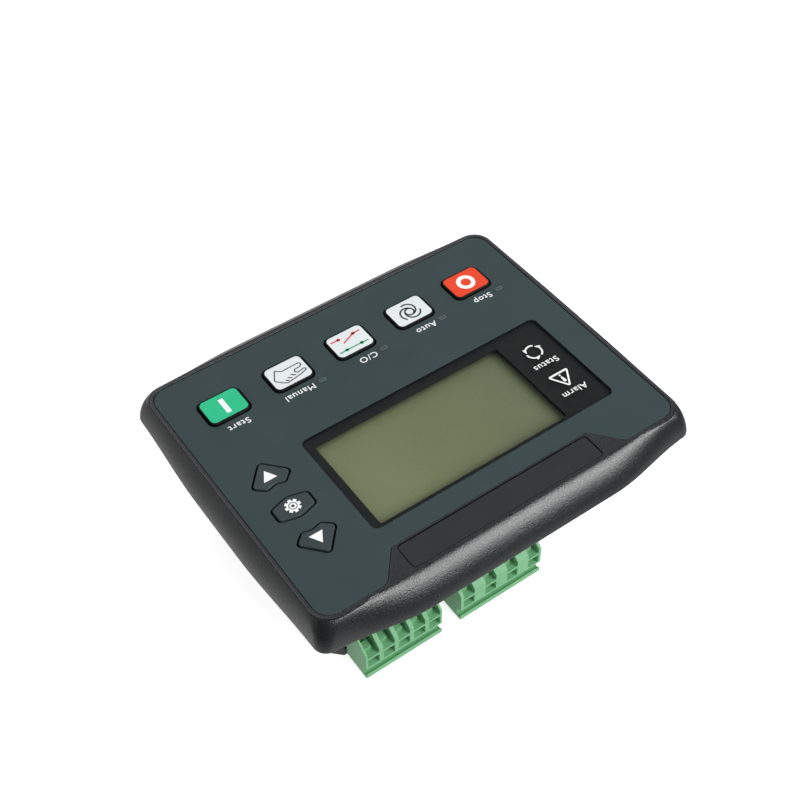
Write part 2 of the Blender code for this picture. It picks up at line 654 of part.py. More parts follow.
def key_rings(outline, rise):
    """A key from its plunger up, about the face plane: plunger, flange, then the body."""
    flange_top = WALL_BOTTOM - GAP - FACE_HEIGHT
    flange_bottom = flange_top - KEY_FLANGE_THICKNESS
    flange = KEY_MOAT + KEY_FLANGE
    return [
        level(outline(-PLUNGER_INSET), KEY_BOTTOM - FACE_HEIGHT),
        level(outline(-PLUNGER_INSET), flange_bottom),
        level(outline(flange), flange_bottom),
        level(outline(flange), flange_top),
        level(outline(0.0), flange_top),
        level(outline(0.0), rise - KEY_ROUND),
        level(outline(-0.3 * KEY_ROUND), rise - 0.3 * KEY_ROUND),
        level(outline(-KEY_ROUND), rise),
    ]


def keys(colours, nav_material):
    for name, centre, outline in key_shapes():
        main = name in MAIN_KEYS
        rings = key_rings(outline, KEY_RISE if main else NAV_RISE)
        material = colours[name] if main else nav_material
        key = solid(name, [rings], material, (centre[0], centre[1], FACE_HEIGHT))
        shade_round(key)


def keypad_mat(material):
    """Rubber sheet on the display board, with a well round each plunger."""
    row = [centre[0] for centre in main_key_centres().values()]
    reach = KEY_SIZE[0] / 2 + MAT_MARGIN
    left, right = row[0] - reach, row[-1] + reach
    low = KEY_ROW_Y - KEY_SIZE[1] / 2 - MAT_LOWER_MARGIN
    high = KEY_ROW_Y + KEY_LAMP_OFFSET[1] + KEY_LAMP_SIZE[1] / 2 + MAT_LOWER_MARGIN
    tower_left = NAV_X - ARROW_WIDTH / 2 - MAT_LOWER_MARGIN
    tower_top = NAV_Y + NAV_PITCH + ARROW_TIP
    outline = [(left, low), (right, low), (right, tower_top), (tower_left, tower_top),
               (tower_left, high), (left, high)]
    bottom, top = BOARD_TOP + GAP, BOARD_TOP + GAP + MAT_THICKNESS
    mat = solid("keypad_mat", [prism(outline, bottom, top)], material)
    below, above = bottom - 1 * MM, top + 1 * MM
    plunger = [side + 4 * GAP - 2 * PLUNGER_INSET for side in KEY_SIZE]
    cuts = [box(plunger, centre, below, above) for centre in main_key_centres().values()]
    cuts += [prism(moved_outline(outline(2 * GAP - PLUNGER_INSET), centre), below, above)
             for centre, outline in nav_keys().values()]
    cuts += lamp_openings(below, above)
    cuts += round_bars(BOARD_SCREW_SPOTS, BOSS_RADIUS + GAP, below, above, 12)
    carve(mat, cuts)


def lamps(material):
    size, bottom = KEY_LAMP_SIZE, BOARD_TOP + GAP
    for name, centre in key_lamp_centres().items():
        solid(name, [box(size, (0.0, 0.0), bottom, FACE_HEIGHT)], material, (*centre, 0.0))
    radius = LENS_LAMP_RADIUS
    crown = LENS_BOTTOM - GAP
    profile = [(radius, bottom), (radius, crown - radius)]
    profile += [(radius * math.cos(math.radians(a)), crown - radius + radius * math.sin(math.radians(a)))
                for a in (30, 60, 80)]
    for name, centre in lens_lamp_centres().items():
        lamp = solid(name, [turned(profile)], material, (*centre, 0.0))
        shade_round(lamp, 50)


# Boards and what they carry

def screw_rings(head_down=True):
    """A screw about the seat of its head; the head is below the seat, or above it."""
    (head, thick), (shank, length) = SCREW_HEAD, SCREW_SHANK
    profile = [(0.75 * head, -thick), (head, -0.6 * thick), (head, 0.0), (shank, 0.0),
               (shank, length - shank), (0.4 * shank, length)]
    if not head_down:
        profile = [(radius, -height) for radius, height in reversed(profile)]
    return turned(profile, steps=8)


def screws(name, spots, seat, material, head_down=True):
    first = None
    for index, spot in enumerate(spots, 1):
        place = (spot[0], spot[1], seat)
        if first is None:
            first = solid(f"{name}_{index}", [screw_rings(head_down)], material, place)
            shade_round(first)
        else:
            twin(f"{name}_{index}", first, place)


def display_board(material):
    outline = rounded_rectangle(DISPLAY_BOARD_SIZE, 2 * MM)
    board = solid("display_board", [prism(outline, BOARD_BOTTOM, BOARD_TOP)], material)
    carve(board, round_bars(BOARD_SCREW_SPOTS, SCREW_SHANK[0] + GAP,
                            BOARD_BOTTOM - 1 * MM, BOARD_TOP + 1 * MM))


def main_board(material):
    outline = lower_outline(-SHELL_WALL - GAP)
    board = solid("main_board", [prism(outline, MAIN_BOARD_BOTTOM, MAIN_BOARD_TOP)], material)
    carve(board, round_bars(mirrored_spots(MAIN_SCREW_SPOT), SCREW_SHANK[0] + GAP,
                             MAIN_BOARD_BOTTOM - 1 * MM, MAIN_BOARD_TOP + 1 * MM))


def block_rings(size, edge):
    """A box with its upper edges broken, standing on its origin."""
    upper = (size[0] - 2 * edge, size[1] - 2 * edge)
    return [level(rectangle(size[:2]), 0.0), level(rectangle(size[:2]), size[2] - edge),
            level(rectangle(upper), size[2])]


def on_board(spot, height=MAIN_BOARD_TOP + GAP):
    """A place given as shares of the main board's halves."""
    return spot[0] * MAIN_BOARD_HALF[0], spot[1] * MAIN_BOARD_HALF[1], height


def relays(material):
    first = None
    for index in range(RELAY_COUNT):
        place = on_board((RELAY_ROW[0] + index * RELAY_STEP, RELAY_ROW[1]))
        name = f"relay_{index + 1}"
        if first is None:
            first = solid(name, [block_rings(RELAY_SIZE, 0.6 * MM)], material, place)
        else:
            twin(name, first, place)


def capacitors(material):
    radius, height = CAPACITOR_SIZE
    waist = 0.93 * radius
    profile = [(0.9 * radius, 0.0), (radius, 0.5 * MM), (radius, 1.5 * MM), (waist, 2.1 * MM),
               (radius, 2.7 * MM), (radius, height - 0.5 * MM), (0.9 * radius, height)]
    for index, spot in enumerate(CAPACITOR_SPOTS, 1):
        shade_round(solid(f"capacitor_{index}", [turned(profile)], material, on_board(spot)))


def inductor(material):
    """A drum core with its winding between two flanges."""
    radius, height = INDUCTOR_SIZE
    flange, winding = 0.15 * height, 0.86 * radius
    profile = [(radius, 0.0), (radius, flange), (winding, flange), (winding, height - flange),
               (radius, height - flange), (radius, height)]
    shade_round(solid("inductor", [turned(profile)], material, on_board(INDUCTOR_SPOT)))


def current_transformers(material):
    """Potted blocks, each with the bore for its conductor."""
    size = TRANSFORMER_SIZE
    first = None
    for index, spot in enumerate(TRANSFORMER_SPOTS, 1):
        place = on_board(spot)
        name = f"current_transformer_{index}"
        if first is None:
            first = solid(name, [block_rings(size, 1.0 * MM)], material, place)
            bore = [(y, z + size[2] / 2) for y, z in circle(TRANSFORMER_BORE, steps=8)]
            side_bore = [[(y, x, z) for x, y, z in ring]
                         for ring in reversed(prism_x(bore, -size[1], size[1]))]
            carve(first, [side_bore])
        else:
            twin(name, first, place)


def board_parts(plastic, dark):
    solid("processor", [box(PROCESSOR_SIZE[:2], (0.0, 0.0), -PROCESSOR_SIZE[2], 0.0)], dark,
          on_board(PROCESSOR_SPOT, BOARD_BOTTOM - GAP))
    bottom, top = MAIN_BOARD_TOP + GAP, BOARD_BOTTOM - GAP
    block, strip = bottom + 0.52 * BOARD_SPACE, top - 0.16 * BOARD_SPACE
    full = rectangle(STACK_HEADER_SIZE)
    slim = rectangle((STACK_HEADER_SIZE[0] - 2 * MM, 0.5 * STACK_HEADER_SIZE[1]))
    rings = [level(full, bottom), level(full, block), level(slim, block), level(slim, strip),
             level(full, strip), level(full, top)]
    solid("board_header", [rings], plastic, on_board(STACK_HEADER_SPOT, 0.0))


# Rear shell and its seal

def straight_outline(half, corner, grow=0.0):
    """The plan outline of the body or the flange, both with as many points."""
    return bowed_outline(half[0] + grow, half[1] + grow, max(corner + grow, SMALLEST_ROUND), 0.0, 0.0)


def body_outline(grow=0.0):
    return straight_outline(BODY_HALF, BODY_CORNER, grow)


def flange_outline(grow=0.0):
    return straight_outline(FLANGE_HALF, FLANGE_CORNER, grow)


def lower_outline(grow=0.0):
    """The body between the terminals, with chamfered corners."""
    wide, deep, cut = BODY_HALF[0], STEP_Y, LOWER_CHAMFER
    corners = [(cut - wide, -deep), (wide - cut, -deep), (wide, cut - deep), (wide, deep - cut),
               (wide - cut, deep), (cut - wide, deep), (-wide, deep - cut), (-wide, cut - deep)]
    return rounded_polygon(offset_outline(corners, grow), [SMALLEST_ROUND] * len(corners), 2)


def terminal_step(side):
    """Outline of what is cut off the body on this side, for the terminals."""
    reach = BEZEL_HEIGHT / 2
    half = BEZEL_WIDTH / 2
    corner = STEP_Y - LOWER_CHAMFER - (half - BODY_HALF[0])
    points = [(half, corner), (half, reach), (-half, reach), (-half, corner),
              (LOWER_CHAMFER - BODY_HALF[0], STEP_Y), (BODY_HALF[0] - LOWER_CHAMFER, STEP_Y)]
    return points if side > 0 else [(-x, -y) for x, y in points]


def plug_length(poles, pitch):
    return (poles - 1 + PLUG_END_SHARE) * pitch + PLUG_END


def terminals():
    """Name, poles, pitch, centre along X and side of the case of each plug and header."""
    right = BODY_HALF[0] - UPPER_RIGHT_MARGIN - plug_length(UPPER_RIGHT_POLE_COUNT, FINE_PITCH) / 2
    between = (plug_length(UPPER_RIGHT_POLE_COUNT, FINE_PITCH)
               + plug_length(UPPER_MIDDLE_POLE_COUNT, WIDE_PITCH)) / 2 + UPPER_GAP
    row = BODY_SIZE[0] - sum(LOWER_MARGINS) - LOWER_GAP
    left_poles = round(LOWER_LEFT_SHARE * row / FINE_PITCH)
    right_poles = round((1 - LOWER_LEFT_SHARE) * row / FINE_PITCH)
    lower_left = LOWER_MARGINS[0] + plug_length(left_poles, FINE_PITCH) / 2 - BODY_HALF[0]
    lower_right = BODY_HALF[0] - LOWER_MARGINS[1] - plug_length(right_poles, FINE_PITCH) / 2
    return (
        ("upper_right", UPPER_RIGHT_POLE_COUNT, FINE_PITCH, right, 1),
        ("upper_middle", UPPER_MIDDLE_POLE_COUNT, WIDE_PITCH, right - between, 1),
        ("lower_left", left_poles, FINE_PITCH, lower_left, -1),
        ("lower_right", right_poles, FINE_PITCH, lower_right, -1),
    )


def rear_shell(material):
    edge = 1.0 * MM
    rings = [level(body_outline(-edge), 0.0), level(body_outline(), edge),
             level(body_outline(), FLANGE_BOTTOM), level(flange_outline(), FLANGE_BOTTOM),
             level(flange_outline(), FLANGE_TOP)]
    shell = solid("rear_shell", [rings], material)

    carve(shell, [prism(terminal_step(side), -5 * MM, STEP_HEIGHT) for side in (1, -1)])
    ledge = STEP_HEIGHT + SHELL_WALL
    carve(shell, [prism(lower_outline(-SHELL_WALL), SHELL_WALL, ledge + 1 * MM)])
    carve(shell, [prism(body_outline(-SHELL_WALL), ledge, FLANGE_TOP + 3 * MM)])
    posts = mirrored_spots(MAIN_SCREW_SPOT)
    join(shell, round_bars(posts, BOSS_RADIUS, SHELL_WALL / 2, MAIN_BOARD_BOTTOM - GAP, 12))

    cuts = round_bars(posts, PILOT_RADIUS, SHELL_WALL + 1 * MM, MAIN_BOARD_BOTTOM + 1 * MM)
    head, thick = SCREW_HEAD
    seat = FLANGE_BOTTOM + thick + GAP
    cuts += [turned([(head + GAP, FLANGE_BOTTOM - 1 * MM), (head + GAP, seat), (SCREW_SHANK[0] + GAP, seat),
                     (SCREW_SHANK[0] + GAP, FLANGE_TOP + 1 * MM)], spot)
             for spot in mirrored_spots(CASE_SCREW_SPOT)]
    for _, poles, pitch, centre, side in terminals():
        size = (plug_length(poles, pitch) + 2 * GAP, 4 * SHELL_WALL)
        cuts.append(box(size, (centre, side * STEP_Y), HEADER_BOTTOM - GAP, HEADER_TOP + GAP))
    carve(shell, cuts)
    carve(shell, vents() + clip_slots())
    shade_round(shell, 30)


def vents():
    """Slots through both end walls of the body."""
    middle, height = (FLANGE_BOTTOM + SHELL_WALL) / 2, 0.45 * FLANGE_BOTTOM
    pitch = 0.143 * STEP_Y
    slots = []
    for side in (1, -1):
        for index in range(VENT_COUNT):
            y = (index - (VENT_COUNT - 1) / 2) * pitch
            slots.append(box((4 * SHELL_WALL, VENT_WIDTH), (side * BODY_HALF[0], y),
                             middle - height / 2, middle + height / 2))
    return slots


def clip_slots():
    """Windows for the mounting clips, in the walls over the terminals."""
    ledge = STEP_HEIGHT + SHELL_WALL
    middle, height = (ledge + FLANGE_BOTTOM) / 2, 0.3 * (FLANGE_BOTTOM - ledge)
    return [box((CLIP_SLOT_LENGTH, 4 * SHELL_WALL), (x * 0.64 * BODY_HALF[0], y * BODY_HALF[1]),
                middle - height / 2, middle + height / 2) for x in (1, -1) for y in (1, -1)]


def panel_gasket(material):
    outer = bezel_outline(1.0, GASKET_INSET + GAP)
    inner = bezel_outline(1.0, GASKET_INSET + GAP + GASKET_WIDTH)
    top = BEZEL_BOTTOM + GASKET_SEAT - GAP
    solid("panel_gasket", [], material, frames=[(outer, inner, top - GASKET_THICKNESS, top)])


# Terminals

def plug_profile():
    """(y, z) outline of a plug, from the case outwards; the wires enter on the right."""
    face, back = STEP_Y + PLUG_FRONT, STEP_Y + GAP
    bottom, top = PLUG_BOTTOM, PLUG_BOTTOM + PLUG_HEIGHT
    tongue = back - PLUG_TONGUE
    low, high = HEADER_BOTTOM + HEADER_WALL + GAP, HEADER_TOP - HEADER_WALL - GAP
    groove, slope = 1.1 * MM, 3.6 * MM
    return [
        (back, bottom), (face - 0.4 * MM, bottom), (face, bottom + 0.4 * MM), (face, bottom + 1.5 * MM),
        (face - groove, bottom + 2.0 * MM), (face - groove, bottom + 4.2 * MM),
        (face, bottom + 4.8 * MM), (face, top - slope), (face - slope, top - 0.5 * MM),
        (face - slope - 1.0 * MM, top), (back, top),
        (back, high), (tongue, high), (tongue, low), (back, low),
    ]


def pole_places(poles, pitch):
    return [(index - (poles - 1) / 2) * pitch for index in range(poles)]


def span(first, second, side):
    """Both ends of a stretch along Y, on this side of the case, in rising order."""
    return sorted((side * first, side * second))


def slab(x, width, y_range, z_range):
    """A box by its place and width along X and its ranges along Y and Z."""
    middle = (y_range[0] + y_range[1]) / 2
    return box((width, y_range[1] - y_range[0]), (x, middle), *z_range)


def plug(name, poles, pitch, centre, side, material):
    length = plug_length(poles, pitch)
    profile = plug_profile()
    body = prism_x(profile, -length / 2, length / 2)
    if side < 0:
        body = [[(x, -y, z) for x, y, z in reversed(ring)] for ring in body]
    item = solid(name + "_plug", [body], material, (centre, 0.0, 0.0))

    face = STEP_Y + PLUG_FRONT
    tongue = STEP_Y + GAP - PLUG_TONGUE
    width, height, depth = WIRE_HOLE
    low = PLUG_BOTTOM + WIRE_HOLE_BOTTOM
    top = PLUG_BOTTOM + PLUG_HEIGHT
    middle = (HEADER_BOTTOM + HEADER_TOP) / 2
    trim = HEADER_WALL + GAP
    beside = span(tongue - 1 * MM, STEP_Y + GAP, side)
    upright = (PLUG_BOTTOM + 1 * MM, top - 1 * MM)
    ends = [slab(end * length / 2, 2 * trim, beside, upright) for end in (1, -1)]
    wires, wells = [], []
    for x in pole_places(poles, pitch):
        wires.append(slab(x, width, span(face - depth, face + 1 * MM, side), (low, low + height)))
        wires.append(slab(x, width, span(face - depth + 1.5 * MM, face + 1 * MM, side),
                          (low + height + 0.9 * MM, top + 1 * MM)))
        wires.append(slab(x, SOCKET_SIZE, span(tongue - 1 * MM, tongue + 7 * MM, side),
                          (middle - SOCKET_SIZE / 2, middle + SOCKET_SIZE / 2)))
        radius, drop = SCREW_WELL
        spot = (x, side * (face - depth + radius))
        wells.append(turned([(radius, PLUG_BOTTOM - 1 * MM), (radius, PLUG_BOTTOM + drop)], spot, 8))
    carve(item, ends)
    carve(item, wires + wells)


def header(name, poles, pitch, centre, side, material):
    """Open-fronted shroud with its pins."""
    length = plug_length(poles, pitch)
    bottom, top = HEADER_BOTTOM, HEADER_TOP
    front = STEP_Y - GAP
    back = STEP_Y - HEADER_DEPTH
    item = solid(name + "_header", [slab(0.0, length, span(back, front, side), (bottom, top))], material,
                 (centre, 0.0, 0.0))
    wall = HEADER_WALL
    room = span(back + wall, front + 1 * MM, side)
    carve(item, [slab(0.0, length - 2 * wall, room, (bottom + wall, top - wall))])
    middle = (bottom + top) / 2
    reach = span(back + wall / 2, STEP_Y - 3.5 * MM, side)
    pin = (middle - PIN_SIZE / 2, middle + PIN_SIZE / 2)
    join(item, [slab(x, PIN_SIZE, reach, pin) for x in pole_places(poles, pitch)])


def build():
    clear_scene()
    black = make_material("black_moulding", (0.018, 0.020, 0.022), 0.45)
    slate = make_material("slate_panel", (0.047, 0.068, 0.074), 0.6)
    plate = make_material("plate", (0.022, 0.022, 0.025), 0.5)
    clear = make_material("clear_lens", (0.02, 0.02, 0.022), 0.1)
    olive = make_material("display_glass", (0.16, 0.19, 0.11), 0.15)
    steel = make_material("steel", (0.6, 0.6, 0.6), 0.35, 1.0)
    white = make_material("white_plastic", (0.85, 0.86, 0.85), 0.5)
    red = make_material("red_key", (0.95, 0.06, 0.03), 0.5)
    green = make_material("green_key", (0.03, 0.58, 0.28), 0.5)
    lamp = make_material("lamp", (0.2, 0.22, 0.23), 0.3)
    board = make_material("board", (0.02, 0.15, 0.06), 0.5)
    rubber = make_material("rubber", (0.03, 0.03, 0.03), 0.8)
    terminal = make_material("terminal", (0.11, 0.42, 0.22), 0.5)
    blue = make_material("relay", (0.05, 0.12, 0.35), 0.45)
    shell = make_material("shell", (0.03, 0.03, 0.032), 0.55)

    front_bezel(black)
    face_panel(slate)
    nameplate(plate)
    display_lens(clear)
    display_stack(steel, olive, white)
    colours = dict(zip(MAIN_KEYS, (red, white, white, white, green)))
    keys(colours, slate)
    keypad_mat(rubber)
    lamps(lamp)
    display_board(board)
    screws("board_screw", BOARD_SCREW_SPOTS, BOARD_BOTTOM - GAP, steel)
    main_board(board)
    screws("main_board_screw", mirrored_spots(MAIN_SCREW_SPOT), MAIN_BOARD_TOP + GAP, steel, head_down=False)
    relays(blue)
    capacitors(plate)
    inductor(rubber)
    current_transformers(blue)
    board_parts(plate, black)
    rear_shell(shell)
    panel_gasket(rubber)
    screws("case_screw", mirrored_spots(CASE_SCREW_SPOT), FLANGE_BOTTOM + SCREW_HEAD[1], steel)
    for terminal_set in terminals():
        header(*terminal_set, terminal)
        plug(*terminal_set, terminal)


build()
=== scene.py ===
import math

import bmesh
import bpy
from mathutils import Matrix, Vector


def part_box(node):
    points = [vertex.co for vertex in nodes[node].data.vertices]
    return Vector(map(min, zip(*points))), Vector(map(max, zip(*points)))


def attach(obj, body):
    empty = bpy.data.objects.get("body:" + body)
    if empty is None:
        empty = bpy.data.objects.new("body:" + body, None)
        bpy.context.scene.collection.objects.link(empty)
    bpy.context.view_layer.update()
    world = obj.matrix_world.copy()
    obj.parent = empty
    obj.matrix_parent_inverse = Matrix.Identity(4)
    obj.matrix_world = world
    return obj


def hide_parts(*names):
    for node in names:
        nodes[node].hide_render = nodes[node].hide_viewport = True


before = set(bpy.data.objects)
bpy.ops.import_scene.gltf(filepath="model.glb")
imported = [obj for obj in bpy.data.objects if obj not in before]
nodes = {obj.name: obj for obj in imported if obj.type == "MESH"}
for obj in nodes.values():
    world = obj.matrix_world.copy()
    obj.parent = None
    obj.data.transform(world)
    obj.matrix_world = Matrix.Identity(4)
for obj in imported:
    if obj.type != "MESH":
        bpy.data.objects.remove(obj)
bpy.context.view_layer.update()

# Sizes in millimetres, repeated from the part

MM = 0.001
GAP = 0.3
FACE = 42.0
BEZEL_HALF = (64.15, 53.85)
BEZEL_BOTTOM = 33.0
SIDE_BOW = 1.5
END_BOW = 3.85
SIDE_SWEEP = (2.0, 38.55)           # from a corner: where the bow starts and is full
END_SWEEP = (2.0, 31.95)
OUTER_CORNER = 4.0
RIM_CORNER = 6.3
RIM_TOP = 42.15
ROUND_POWER = 1.52                  # of the superellipse that is the bezel's section
OPENING_HALF = (57.1, 44.5)
PANEL_HALF = (59.0, 46.0)
PANEL_BOTTOM = 41.5
PANEL_CORNER = 4.9
NOTCH_HALF = 32.65
NOTCH_EDGE = 39.75
NOTCH_BOTTOM = 37.4
WALL_TOP = 41.2
WALL_BOTTOM = 39.3
RIM_HALF = (PANEL_HALF[0] + 1.15, PANEL_HALF[1] + 1.15)
OUTER_HALF = (BEZEL_HALF[0] - SIDE_BOW, BEZEL_HALF[1] - END_BOW)
PLATE_SIZE = (63.1, 7.9)
PLATE_CENTRE = (0.0, 42.25)
PLATE_RECESS = 0.75
PLATE_BOTTOM = 41.7
PLATE_TOP = 41.98
LENS_SIZE = (82.0, 36.8)
LENS_CENTRE = (-8.0, 12.3)
LENS_TOP = 41.95
LENS_BOTTOM = 40.75
LENS_SHEET = 0.9
WINDOW = (-33.2, 30.2, -3.0, 29.2)  # left, right, low and high edge
KEY_PLACES = {"stop": -42.05, "auto": -20.7, "changeover": 0.65, "manual": 22.0, "start": 43.35}
KEY_ROW = -29.7
KEY_SIZE = (12.8, 9.8)
KEY_TOP = 42.62
NAV_X = 46.1
NAV_Y = 11.65
NAV_PITCH = 13.0
NAV_TOP = 42.3
LAMP_SIZE = (2.4, 1.35)
LAMP_PLACES = {name: (x - 6.9, -22.0) for name, x in KEY_PLACES.items() if name != "start"}
LENS_LAMPS = {"alarm": (-40.7, 18.0), "status": (-40.7, 5.01)}
LENS_LAMP_HOLE = 1.8
BOARD_TOP = 35.0
FLANGE_TOP = 32.7
BOSS_RADIUS = 2.4
PILOT_RADIUS = 1.25
BOARD_SCREWS = [(32.9, 36.8), (-35.9, 36.8), (32.68, -32.0), (-31.38, -32.0)]
CASE_SCREWS = [(x * 55.9, y * 24.02) for x, y in ((1, 1), (-1, 1), (-1, -1), (1, -1))]
STEP_Y = 34.9
PLUG_FACE = STEP_Y + 10.3
PLUG_BACK = STEP_Y + GAP
PLUG_TONGUE = PLUG_BACK - 8.7
PLUG_TONGUE_RANGE = (4.7, 12.9)
PLUG_BOTTOM = 0.8
PLUG_TOP = 15.9
PLUG_ENDS = 3.8
PLUG_END_SHARE = 0.75               # poles less this, times the pitch, plus the ends: its length
MOUTH_BOTTOM = PLUG_BOTTOM + 5.5
MOUTH_SIZE = (3.7, 3.4)
CLAMP_WIDTH = 2.2
RING_RADIUS = 1.0
RING_HOLE = 0.62
WELL_RADIUS = 1.3
ABOVE = 44.0                        # clear of every top, for cutters


# Outlines: lists of (x, y), counter-clockwise

def arc(centre, radius, start, sweep, steps):
    angles = [math.radians(start + sweep * step / steps) for step in range(steps + 1)]
    return [(centre[0] + radius * math.cos(a), centre[1] + radius * math.sin(a)) for a in angles]


def circle(radius, centre=(0.0, 0.0), steps=32):
    return arc(centre, radius, 0, 360, steps)[:-1]


def rectangle(size, centre=(0.0, 0.0)):
    return [(centre[0] + x * size[0] / 2, centre[1] + y * size[1] / 2)
            for x, y in ((-1, -1), (1, -1), (1, 1), (-1, 1))]


def rounded_rectangle(size, radius, centre=(0.0, 0.0), steps=8):
    half_x, half_y = size[0] / 2 - radius, size[1] / 2 - radius
    points = []
    for start, x, y in ((0, 1, 1), (90, -1, 1), (180, -1, -1), (270, 1, -1)):
        points += arc((centre[0] + x * half_x, centre[1] + y * half_y), radius, start, 90, steps)
    return points


def offset_outline(points, distance):
    moved = []
    for index, point in enumerate(points):
        before, after = points[index - 1], points[(index + 1) % len(points)]
        normals = []
        for start, end in ((before, point), (point, after)):
            length = math.dist(start, end)
            normals.append(((end[1] - start[1]) / length, (start[0] - end[0]) / length))
        (ax, ay), (bx, by) = normals
        share = distance / (1 + ax * bx + ay * by)
        moved.append((point[0] + (ax + bx) * share, point[1] + (ay + by) * share))
    return moved


def rounded_polygon(corners, radii, steps=8):
    points = []
    for index, corner in enumerate(corners):
        before, after = corners[index - 1], corners[(index + 1) % len(corners)]
        radius = radii[index]
        to_before = math.atan2(before[1] - corner[1], before[0] - corner[0])
        to_after = math.atan2(after[1] - corner[1], after[0] - corner[0])
        turn = (to_before - to_after + math.pi) % (2 * math.pi) - math.pi
        reach = radius / math.sin(abs(turn) / 2)
        middle = to_after + turn / 2
        centre = (corner[0] + reach * math.cos(middle), corner[1] + reach * math.sin(middle))
        sweep = math.degrees(math.pi - abs(turn))
        side = 1 if turn > 0 else -1
        points += arc(centre, radius, math.degrees(to_before) + 90 * side, sweep * side, steps)
    return points


def smooth_step(value):
    value = min(max(value, 0.0), 1.0)
    return value * value * (3 - 2 * value)


def bezel_outline(spread, inset=0.0, corner_steps=12, sweep_steps=40):
    """The bezel's plan outline: spread 0 at the rim, 1 at the rear edge, moved in by inset."""
    def mix(rim, outer):
        return rim + (outer - rim) * spread

    def bowed(half, bow, from_end, sweep):
        return half + bow * spread * smooth_step((from_end - sweep[0]) / (sweep[1] - sweep[0]))

    corner = max(mix(RIM_CORNER, OUTER_CORNER) - inset, 0.8)
    half_x, half_y = (mix(RIM_HALF[axis], OUTER_HALF[axis]) - inset for axis in (0, 1))
    points = []
    for quarter, (sign_x, sign_y) in enumerate(((1, 1), (-1, 1), (-1, -1), (1, -1))):
        centre = (sign_x * (half_x - corner), sign_y * (half_y - corner))
        points += arc(centre, corner, 90 * quarter, 90, corner_steps)
        for step in range(1, sweep_steps):
            along = 1 - 2 * step / sweep_steps
            if quarter % 2 == 0:
                x = sign_x * along * (half_x - corner)
                points.append((x, sign_y * bowed(half_y, END_BOW, half_x - abs(x), END_SWEEP)))
            else:
                y = sign_y * along * (half_y - corner)
                points.append((sign_x * bowed(half_x, SIDE_BOW, half_y - abs(y), SIDE_SWEEP), y))
    return points


def grown(size, grow):
    return size[0] + 2 * grow, size[1] + 2 * grow


def plate_outline(grow=0.0):
    return rounded_rectangle(grown(PLATE_SIZE, grow), 1.0 + grow, PLATE_CENTRE)


def lens_outline(grow=0.0):
    return rounded_rectangle(grown(LENS_SIZE, grow), 2.0 + grow, LENS_CENTRE)


def panel_outline(grow=0.0):
    half_x, half_y = PANEL_HALF
    corners = [(-half_x, -half_y), (half_x, -half_y), (half_x, half_y), (NOTCH_EDGE, half_y),
               (NOTCH_HALF, NOTCH_BOTTOM), (-NOTCH_HALF, NOTCH_BOTTOM), (-NOTCH_EDGE, half_y),
               (-half_x, half_y)]
    outer, inner, edge = PANEL_CORNER + grow, 1.2 - grow, 3.4 + grow
    return rounded_polygon(offset_outline(corners, grow),
                           [outer, outer, outer, edge, inner, inner, edge, outer])


def main_key_outline(grow=0.0):
    return rounded_rectangle(grown(KEY_SIZE, grow), max(1.9 + grow, 0.4))


def arrow_outline(sign, grow=0.0):
    corners = [(-2.85, -4.3), (0.0, -3.5), (2.85, -4.3), (5.8, -1.7), (0.0, 4.8), (-5.8, -1.7)]
    if sign < 0:
        corners = [(-x, -y) for x, y in corners]
    corner, hollow = max(0.9 + grow, 0.3), max(3.6 - grow, 0.4)
    return rounded_polygon(offset_outline(corners, grow), [corner, hollow] + [corner] * 4)


def up_outline(grow=0.0):
    return arrow_outline(1, grow)


def down_outline(grow=0.0):
    return arrow_outline(-1, grow)


def set_outline(grow=0.0):
    corners = [(-5.5, -2.1), (0.0, -3.65), (5.5, -2.1), (5.5, 2.1), (0.0, 3.65), (-5.5, 2.1)]
    corner = max(0.9 + grow, 0.3)
    return rounded_polygon(offset_outline(corners, grow), [corner, 4 * corner, corner] * 2)


def moved(points, by):
    return [(x + by[0], y + by[1]) for x, y in points]


KEYS = {name: ((x, KEY_ROW), main_key_outline, KEY_TOP) for name, x in KEY_PLACES.items()}
KEYS["up"] = ((NAV_X, NAV_Y + NAV_PITCH), up_outline, NAV_TOP)
KEYS["set"] = ((NAV_X, NAV_Y), set_outline, NAV_TOP)
KEYS["down"] = ((NAV_X, NAV_Y - NAV_PITCH), down_outline, NAV_TOP)
# How far the hole of each key is larger than the key
KEY_ROOM = [0.55 if name in KEY_PLACES else 0.62 for name in KEYS]


# Solids

def level(outline, height):
    return [(x, y, height) for x, y in outline]


def prism(outline, bottom, top):
    return [level(outline, bottom), level(outline, top)]


def flared(outline, centre, bottom, top, radius, grow=0.0, steps=4):
    """A cutter whose mouth at top is rounded outwards by radius."""
    rings = [level(moved(outline(grow), centre), bottom)]
    for step in range(steps + 1):
        angle = math.radians(90 * step / steps)
        rings.append(level(moved(outline(grow + radius * (1 - math.cos(angle))), centre),
                           top - radius * (1 - math.sin(angle))))
    rings.append(level(moved(outline(grow + radius), centre), top + 2))
    return rings


def crowned(outline, bottom, top, radius, steps=6, grow=0.0):
    """A body with its upper edge rounded by radius."""
    rings = [level(outline(grow), bottom)]
    for step in range(steps + 1):
        angle = math.radians(90 * step / steps)
        rings.append(level(outline(grow + radius * (math.cos(angle) - 1)),
                           top - radius * (1 - math.sin(angle))))
    return rings


def turned(profile, centre=(0.0, 0.0), steps=24):
    return [level(circle(radius, centre, steps), height) for radius, height in profile]


def add_rings(mesh, rings):
    rows = [[mesh.verts.new([MM * value for value in point]) for point in ring] for ring in rings]
    count = len(rows[0])
    for lower, upper in zip(rows, rows[1:]):
        for index in range(count):
            after = (index + 1) % count
            mesh.faces.new((lower[index], lower[after], upper[after], upper[index]))
    mesh.faces.new(reversed(rows[0]))
    mesh.faces.new(rows[-1])


